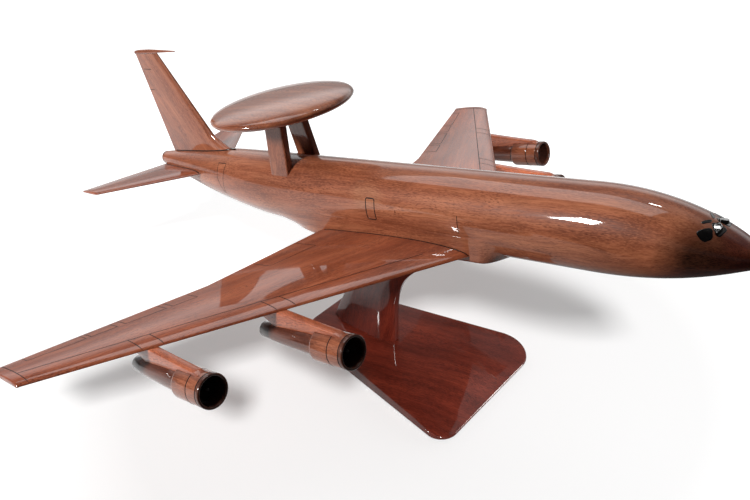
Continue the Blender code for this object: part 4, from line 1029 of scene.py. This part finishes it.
fin_mahogany = mahogany("mahogany_fin", FIN_GRAIN, FUSELAGE_TONES)
fin_heights = [FIN_ROOT_Z] + [mix(FUSELAGE_HEIGHT / 2, FIN_FILLET_TOP, k / 16) for k in range(17)]
fin_heights += [mix(FIN_FILLET_TOP, FIN_TOP_Z, k / 12) for k in range(1, 13)]
on_aircraft("fin_blade", skinned([fin_ring(z) for z in fin_heights]), fin_mahogany, ["fin"])
builder = bmesh.new()
for side_name, side in SIDES:
    surface = fin_skin(side)
    for z, fore, aft in RUDDER_TICKS:
        burnt_line(builder, surface, [(fore, z), (aft, z)])
    seam = []
    for k in range(41):
        station = mix(FIN_ROOT_LEAD - FIN_FILLET_REACH + SEAM_MARGIN, fin_root_trail - SEAM_MARGIN, k / 40)
        z = fuselage_point(station, 90).z
        for settle in range(3):
            wide = abs(surface(station, z, 0.0).y) / fuselage_point(station, 0).y
            z = fuselage_point(station, math.degrees(math.acos(wide))).z
        seam.append((station, z + FIN_SEAM / 4))
    burnt_line(builder, surface, seam, FIN_SEAM)
on_aircraft("rudder_lines", builder, scorch)

# Fin probe
# A thin carved sliver of the fuselage's mahogany, pointed forward.
# It is glued along the top of the fin.
PROBE_LENGTH = 0.0500
PROBE_HEIGHT = 0.0026
PROBE_WIDTH = 0.0030
PROBE_POINT = 0.22
PROBE_END = 0.1

probe_rings = []
for k in range(41):
    share = k / 40
    size = min(1, PROBE_POINT + 1.15 * share**0.9) * (1 - 0.2 * max(0, 1 - (1 - share) / PROBE_END))
    x = ahead(fin_tip_trail - PROBE_LENGTH * (1 - share))
    probe_rings.append([Vector((x, PROBE_WIDTH / 2 * size * math.cos(turn),
                                FIN_TOP_Z + GLUE_GAP + PROBE_HEIGHT * size * math.sin(turn) ** 0.7))
                        for turn in (math.pi * i / 15 for i in range(16))])
on_aircraft("fin_tip_probe", skinned(probe_rings), along_mahogany, ["fin_probe"])

# Tailplanes
# Two small flat mahogany blades, let into slots in the tail and glued.
# A burnt seam runs along each root.
TAILPLANE_ROOT_LEAD = 0.3630
TAILPLANE_ROOT_CHORD = 0.0660
TAILPLANE_TIP_SETBACK = 0.0555
TAILPLANE_TIP_CHORD = 0.0215
TAILPLANE_TONGUE = 0.0040
TAILPLANE_HALF_SPAN = 0.0710
TAILPLANE_ROOT_Z = 0.0062
TAILPLANE_TIP_Z = 0.0098
TAILPLANE_ROOT_THICKNESS = 0.0040
TAILPLANE_TIP_THICKNESS = 0.0022
TAILPLANE_TIP_ROUND = 0.0010
TAILPLANE_GRAIN_SWEEP = 0.7
TAILPLANE_SEAM_SHIFT = 0.012

def tailplane_shape(share):
    """Leading edge, chord, thickness, distance out and height of a tailplane at a share of its span."""
    return (TAILPLANE_ROOT_LEAD + TAILPLANE_TIP_SETBACK * share,
            mix(TAILPLANE_ROOT_CHORD, TAILPLANE_TIP_CHORD, share),
            mix(TAILPLANE_ROOT_THICKNESS, TAILPLANE_TIP_THICKNESS, share),
            mix(TAILPLANE_TONGUE, TAILPLANE_HALF_SPAN - TAILPLANE_TIP_ROUND, share),
            mix(TAILPLANE_ROOT_Z, TAILPLANE_TIP_Z, share))

def tailplane_ring(share, side, bend=0.0):
    """Section of a tailplane at a share of its span, drawn in over the rounded tip."""
    lead, chord, thickness, y, z = tailplane_shape(share)
    inset = TAILPLANE_TIP_ROUND * (1 - math.cos(bend))
    out = y + TAILPLANE_TIP_ROUND * math.sin(bend)
    outline = blade_section(chord - 2 * inset, thickness * math.cos(bend), 0.5)
    return [Vector((ahead(lead + inset + x), side * out, z + height)) for x, height in outline]

def tailplane_skin(side):
    """Upper surface of a tailplane by share of its span and share of its chord."""
    def point(across, share, lift):
        lead, chord, thickness, y, z = tailplane_shape(across)
        u = clamped(share)
        return Vector((ahead(lead + chord * u), side * y, z + blade_height(u, thickness / 2) + lift))
    return point

for side_name, side in SIDES:
    tail_grain = (-TAILPLANE_TIP_SETBACK * TAILPLANE_GRAIN_SWEEP, side * TAILPLANE_HALF_SPAN, 0)
    tail_mahogany = mahogany("mahogany_tailplane_" + side_name, tail_grain, WING_TONES)
    rings = [tailplane_ring(k / 16, side) for k in range(17)]
    rings += [tailplane_ring(1.0, side, bend) for bend in TIP_BENDS]
    on_aircraft("tailplane_blade_" + side_name, skinned(rings), tail_mahogany, ["tailplane_" + side_name])
    surface = tailplane_skin(side)
    seam = []
    for k in range(41):
        share, across = mix(0.01, 0.98, k / 40), 0.1
        for settle in range(4):
            point = surface(across, share, 0.0)
            wide = abs(side_skin(side)(STAND_STATION - point.x, point.z, 0.0).y)
            across = (wide - TAILPLANE_TONGUE) / (TAILPLANE_HALF_SPAN - TAILPLANE_TONGUE)
        seam.append((across + TAILPLANE_SEAM_SHIFT, share))
    builder = bmesh.new()
    burnt_line(builder, surface, seam, FIN_SEAM)
    on_aircraft("tailplane_seam_" + side_name, builder, scorch)

# Dome struts and head block
# Two leaning mahogany struts with rounded edges, let into the fuselage, carry a small block under the dome.
# A brass washer on the block lets the dome turn.
DOME_RIM = 0.0016
DOME_BELLY = 0.0045
STRUT_STATION = 0.2810
STRUT_CHORD = 0.0165
STRUT_THICKNESS = 0.0052
STRUT_FOOT_Y = 0.0128
STRUT_HEAD_Y = 0.0092
STRUT_TONGUE = 0.0050
HEAD_LENGTH = 0.0190
HEAD_WIDTH = 0.0250
HEAD_THICKNESS = 0.0036
HEAD_ROUNDING = 0.0004
WASHER_THICKNESS = 0.0008
STRUT_TONES = ((0.150, 0.0380, 0.0160), (0.210, 0.0590, 0.0260), (0.280, 0.0920, 0.0420),
               (0.065, 0.0145, 0.0065))
BRASS_SPOTS = (0.0015, 0.0015, 0.0015)
BRASS_DARK = (0.42, 0.26, 0.09, 1)
BRASS_PALE = (0.72, 0.52, 0.22, 1)

dome_under_z = DOME_HEIGHT - DOME_RIM / 2 - DOME_BELLY
head_z = dome_under_z - 2 * GLUE_GAP - WASHER_THICKNESS - HEAD_THICKNESS
strut_top_z = head_z - GLUE_GAP
strut_foot_z = FUSELAGE_HEIGHT / 2 * math.sqrt(1 - (2 * STRUT_FOOT_Y / FUSELAGE_WIDTH) ** 2)

def soft_box(length, width, power, sides=48):
    """Rounded box outline of (x, y) points."""
    return [[math.copysign(abs(part) ** power, part) * size / 2 for part, size in zip(parts, (length, width))]
            for parts in circle(sides)]

strut_mahogany = mahogany("mahogany_strut", (0, 0, 1), STRUT_TONES)
lean = (STRUT_HEAD_Y - STRUT_FOOT_Y) / (strut_top_z - strut_foot_z)
for side_name, side in SIDES:
    rings = []
    for z in (strut_foot_z - STRUT_TONGUE, strut_top_z):
        middle = STRUT_FOOT_Y + lean * (z - strut_foot_z)
        rings.append([Vector((ahead(STRUT_STATION) + x, side * (middle + y), z))
                      for x, y in soft_box(STRUT_CHORD, STRUT_THICKNESS, 0.25)])
    on_aircraft("strut_" + side_name, skinned(rings), strut_mahogany, ["dome_strut_" + side_name])
head_rings = []
for z, size in ((0.0, 0.96), (HEAD_ROUNDING, 1.0), (HEAD_THICKNESS - HEAD_ROUNDING, 1.0),
                (HEAD_THICKNESS, 0.96)):
    head_rings.append([Vector((ahead(DOME_STATION) + x * size, y * size, head_z + z))
                       for x, y in soft_box(HEAD_LENGTH, HEAD_WIDTH, 0.5, 64)])
on_aircraft("strut_head_block", skinned(head_rings), along_mahogany, ["strut_head"])
aged_brass = spotted("aged_brass", BRASS_SPOTS, 4.0, BRASS_DARK, BRASS_PALE, (0.3, 0.65),
                     roughness=(0.5, 0.24), Metallic=1.0)
dress("dome_washer", aged_brass)

# Radar dome
# A shallow round lens of mahogany, turned and lacquered, flat only where it seats on the washer.
# One brass screw from below holds it to the head block, and it turns on that screw.
DOME_RADIUS = 0.0458
DOME_CROWN = 0.0052
DOME_SEAT_RADIUS = 0.0080
DOME_BORE_RADIUS = 0.0022
DOME_EDGE = 0.0002
DOME_FULLNESS = 2.2

dome_low = -DOME_RIM / 2
dome_profile = [(dome_low - DOME_BELLY, DOME_BORE_RADIUS), (dome_low - DOME_BELLY, DOME_SEAT_RADIUS)]
for k in range(1, 33):
    fill = math.sqrt(max(0, 1 - (k / 32) ** DOME_FULLNESS))
    radius = mix(DOME_SEAT_RADIUS, DOME_RADIUS - DOME_EDGE, k / 32)
    dome_profile.append((dome_low - DOME_BELLY * fill, radius))
dome_profile += [(-DOME_RIM / 4, DOME_RADIUS), (DOME_RIM / 4, DOME_RADIUS)]
for k in range(40, 0, -1):
    fill = math.sqrt(max(0, 1 - (k / 40) ** DOME_FULLNESS))
    dome_profile.append((DOME_RIM / 2 + DOME_CROWN * fill, (DOME_RADIUS - DOME_EDGE) * k / 40))
dome_rings = [[Vector((radius * x, radius * y, z)) for x, y in circle(128)] for z, radius in dome_profile]
dome_mahogany = mahogany("mahogany_dome", (1, 0.1, 0), FUSELAGE_TONES)
add_piece("turned_dome", skinned(dome_rings), dome_mahogany, "dome", ["radar_dome"],
          airframe @ Matrix.Translation(dome_pivot))
dress("dome_screw", aged_brass)

# White sheet and studio light
# The model stands on a seamless white sheet that ends short of the camera, before a bright backdrop.
# A flagged window lights the model, lamps behind it leave streaks, and two lamps light sheet and stand.
# Stops are (position, level). Lamps are name, azimuth, elevation, distance, width, height, power and group.
SHEET_NEAR = 0.20
SHEET_FAR = 4.0
VIEW_HEADING = math.radians(43.58)
SHEET_WHITE = 0.90
SHEET_SIDE = 0.95
SHEET_DARK = 0.05
DARK_REACH = 0.14
SHEET_REFLECTED_GLOW = 0.20
SHEET_GLOW = 0.60
NEAR_GLOW = 0.05
GLOW_START = 0.18
GLOW_END = 0.40
GLOW_WAY = (-0.90, 0.44, 0.0)
GLOW_BEHIND = (0.10, 0.18)
BACKDROP_TURN = math.radians(115)
BACKDROP = ((0.10, 0.09), (0.50, 1.10), (0.90, 1.25))
CEILING = ((0.06, 0.28), (0.12, 0.36), (0.22, 1.0), (0.38, 0.90), (0.54, 0.16), (0.70, 0.16), (0.78, 0.45))
LAMP_AIM = Vector((0.09, -0.015, 0.14))
LAMPS = (("left_window", -119.8, 24.4, 1.5, 0.195, 0.236, 22.0, "model"),
         ("back_lamp", 109, 64, 1.5, 0.115, 0.080, 1.2, "all_but_wings"),
         ("rear_softbox", 170, 62, 1.4, 0.80, 1.20, 6.5, "all_but_sheet"),
         ("rim_lamp", 44.5, 15, 1.5, 0.25, 0.70, 16.0, "base_alone"),
         ("sheet_lamp", -45, 43, 4.0, 0.50, 0.50, 145.0, "far_side_and_stand"),
         ("sheet_fill", 80, 50, 4.0, 1.40, 1.40, 52.0, "sheet_alone"))
FLAG_POINT = Vector((0.172, -0.015, 0.138))
FLAG_DISTANCE = 0.09
FLAG_EDGE = 0.0075
FLAG_WIDTH = 0.09
FLAG_HEIGHT = 0.14

def spread(tree, value, low, high, first, last):
    """Value between a low and a high end, spread from a first to a last one."""
    node = shade(tree, "MapRange", Value=value, From_Min=low, From_Max=high, To_Min=first, To_Max=last)
    return node.outputs["Result"]

def studio_card(name, corners, material):
    """Flat card that belongs to the studio."""
    mesh = bpy.data.meshes.new(name)
    mesh.from_pydata(corners, [], [(0, 1, 2, 3)])
    mesh.materials.append(material)
    card = bpy.data.objects.new(name, mesh)
    bpy.context.scene.collection.objects.link(card)
    return card

away = Vector((-math.sin(VIEW_HEADING), math.cos(VIEW_HEADING), 0))
across = Vector((away.y, -away.x, 0))
white, tree, shader = new_finish("white_paper", Roughness=0.9, Specular_IOR_Level=0.0, Emission_Color=grey(1))
rays = shade(tree, "LightPath").outputs
spot = shade(tree, "TexCoord").outputs["Object"]
# Painted shade: for every ray but the camera's, the sheet is dark on the camera's side, so it lights the
# model less from there and shows dark in its reflections.
bounce = maths(tree, "VectorMath", "DOT_PRODUCT", spot, (across - away).normalized())
bounce = spread(tree, bounce, -DARK_REACH, DARK_REACH, SHEET_SIDE, SHEET_DARK)
# Painted light: for the camera alone the sheet glows, faintly near the model and strongly far off and behind
# it, which washes out the model's shadows there.
glow = maths(tree, "VectorMath", "LENGTH", spot)
glow = spread(tree, glow, GLOW_START, GLOW_END, NEAR_GLOW, SHEET_GLOW)
behind = maths(tree, "VectorMath", "DOT_PRODUCT", spot, GLOW_WAY)
glow = maths(tree, "Math", "MAXIMUM", glow, spread(tree, behind, *GLOW_BEHIND, 0.0, SHEET_GLOW))
glow = maths(tree, "Math", "MULTIPLY", rays["Is Camera Ray"], glow)
# Painted reflection: the sheet also glows in the model's reflections, by a fifth of its colour for those
# rays.
reflected_glow = maths(tree, "Math", "MULTIPLY", rays["Is Glossy Ray"], SHEET_REFLECTED_GLOW)
wire(shader, Base_Color=blend(tree, rays["Is Camera Ray"], bounce, grey(SHEET_WHITE)),
     Emission_Strength=maths(tree, "Math", "MULTIPLY_ADD", reflected_glow, bounce, glow))
sheet_ends = ((-SHEET_NEAR, -SHEET_FAR), (-SHEET_NEAR, SHEET_FAR), (SHEET_FAR, SHEET_FAR),
              (SHEET_FAR, -SHEET_FAR))
sheet = studio_card("white_sheet", [away * reach + across * width for reach, width in sheet_ends], white)

world = bpy.data.worlds.new("studio")
bpy.context.scene.world = world
world.use_nodes = True
tree = world.node_tree
direction = shade(tree, "TexCoord").outputs["Generated"]
bright_way = (math.cos(BACKDROP_TURN), math.sin(BACKDROP_TURN), 0)
facing = maths(tree, "VectorMath", "DOT_PRODUCT", direction, bright_way)
height = shade(tree, "SeparateXYZ", Vector=direction).outputs["Z"]
backdrop = ramp(tree, facing, *((position, grey(level)) for position, level in BACKDROP))
ceiling = ramp(tree, height, *((position, grey(level)) for position, level in CEILING))
room = blend(tree, 1.0, backdrop, ceiling, "MULTIPLY")
room = blend(tree, shade(tree, "LightPath").outputs["Is Camera Ray"], room, grey(1))
wire(tree.nodes["Background"], Color=room)

far_side = [thing for thing in bpy.context.scene.objects
            if thing.name.endswith(("_left_inner", "_left_outer"))]
far_side.append(wings[0])
light_groups = {}
for group, members, state in (("sheet_alone", [sheet], "INCLUDE"), ("base_alone", [base], "INCLUDE"),
                              ("far_side_and_stand", [sheet, base, column] + far_side, "INCLUDE"),
                              ("all_but_sheet", [sheet], "EXCLUDE"), ("model", [sheet, column], "EXCLUDE"),
                              ("all_but_wings", [sheet, column] + wings, "EXCLUDE")):
    light_groups[group] = bpy.data.collections.new(group)
    for member in members:
        light_groups[group].objects.link(member)
    for entry in light_groups[group].collection_objects:
        entry.light_linking.link_state = state
holders = []
for name, azimuth, elevation, distance, width, height, power, group in LAMPS:
    lamp = bpy.data.lights.new(name, "AREA")
    lamp.shape = "RECTANGLE"
    lamp.size, lamp.size_y = width, height
    lamp.energy = power
    lamp.use_shadow = name != "sheet_fill"
    holder = bpy.data.objects.new(name, lamp)
    bpy.context.scene.collection.objects.link(holder)
    turn, lift = math.radians(azimuth), math.radians(elevation)
    outward = Vector((math.cos(lift) * math.cos(turn), math.cos(lift) * math.sin(turn), math.sin(lift)))
    holder.location = LAMP_AIM + outward * distance
    holder.rotation_euler = outward.to_track_quat("Z", "Y").to_euler()
    holder.light_linking.receiver_collection = light_groups[group]
    holders.append(holder)

window, *other_lamps = holders
window_way = (window.location - FLAG_POINT).normalized()
level = window_way.cross(Vector((0, 0, 1))).normalized()
upward = level.cross(window_way)
middle = FLAG_POINT + window_way * FLAG_DISTANCE
flag_far = FLAG_EDGE - FLAG_WIDTH
flag_ends = ((FLAG_EDGE, -FLAG_HEIGHT / 2), (FLAG_EDGE, FLAG_HEIGHT / 2), (flag_far, FLAG_HEIGHT / 2),
             (flag_far, -FLAG_HEIGHT / 2))
black_card = new_finish("black_card", Base_Color=(0.02, 0.02, 0.02, 1), Roughness=0.9)[0]
flag = studio_card("lamp_flag", [middle + level * x + upward * y for x, y in flag_ends], black_card)
flag.visible_camera = flag.visible_glossy = flag.visible_diffuse = False
shaded = bpy.data.collections.new("flag_passes")
shaded.objects.link(flag)
shaded.collection_objects[0].light_linking.link_state = "EXCLUDE"
for holder in other_lamps:
    holder.light_linking.blocker_collection = shaded

# Camera
# It looks down on the right front of the model, slightly rolled,
# and stands close enough for strong perspective.
VIEW_POINT = (0.254315, -0.305601, 0.324109)
VIEW_TILT = math.radians(59.004)
VIEW_ROLL = math.radians(-5.505)
VIEW_LENS = 36.711
VIEW_SHIFT = (0.02163, -0.00053)

eye = bpy.data.cameras.new("photo_view")
eye.sensor_width = 36.0
eye.lens = VIEW_LENS
eye.shift_x, eye.shift_y = VIEW_SHIFT
eye.clip_start = 0.01
camera = bpy.data.objects.new("photo_view", eye)
bpy.context.scene.collection.objects.link(camera)
camera.matrix_world = (Matrix.Translation(VIEW_POINT) @ Matrix.Rotation(VIEW_HEADING, 4, "Z")
                       @ Matrix.Rotation(VIEW_TILT, 4, "X") @ Matrix.Rotation(VIEW_ROLL, 4, "Z"))
bpy.context.scene.camera = camera
bpy.context.scene.view_settings.view_transform = "Standard"
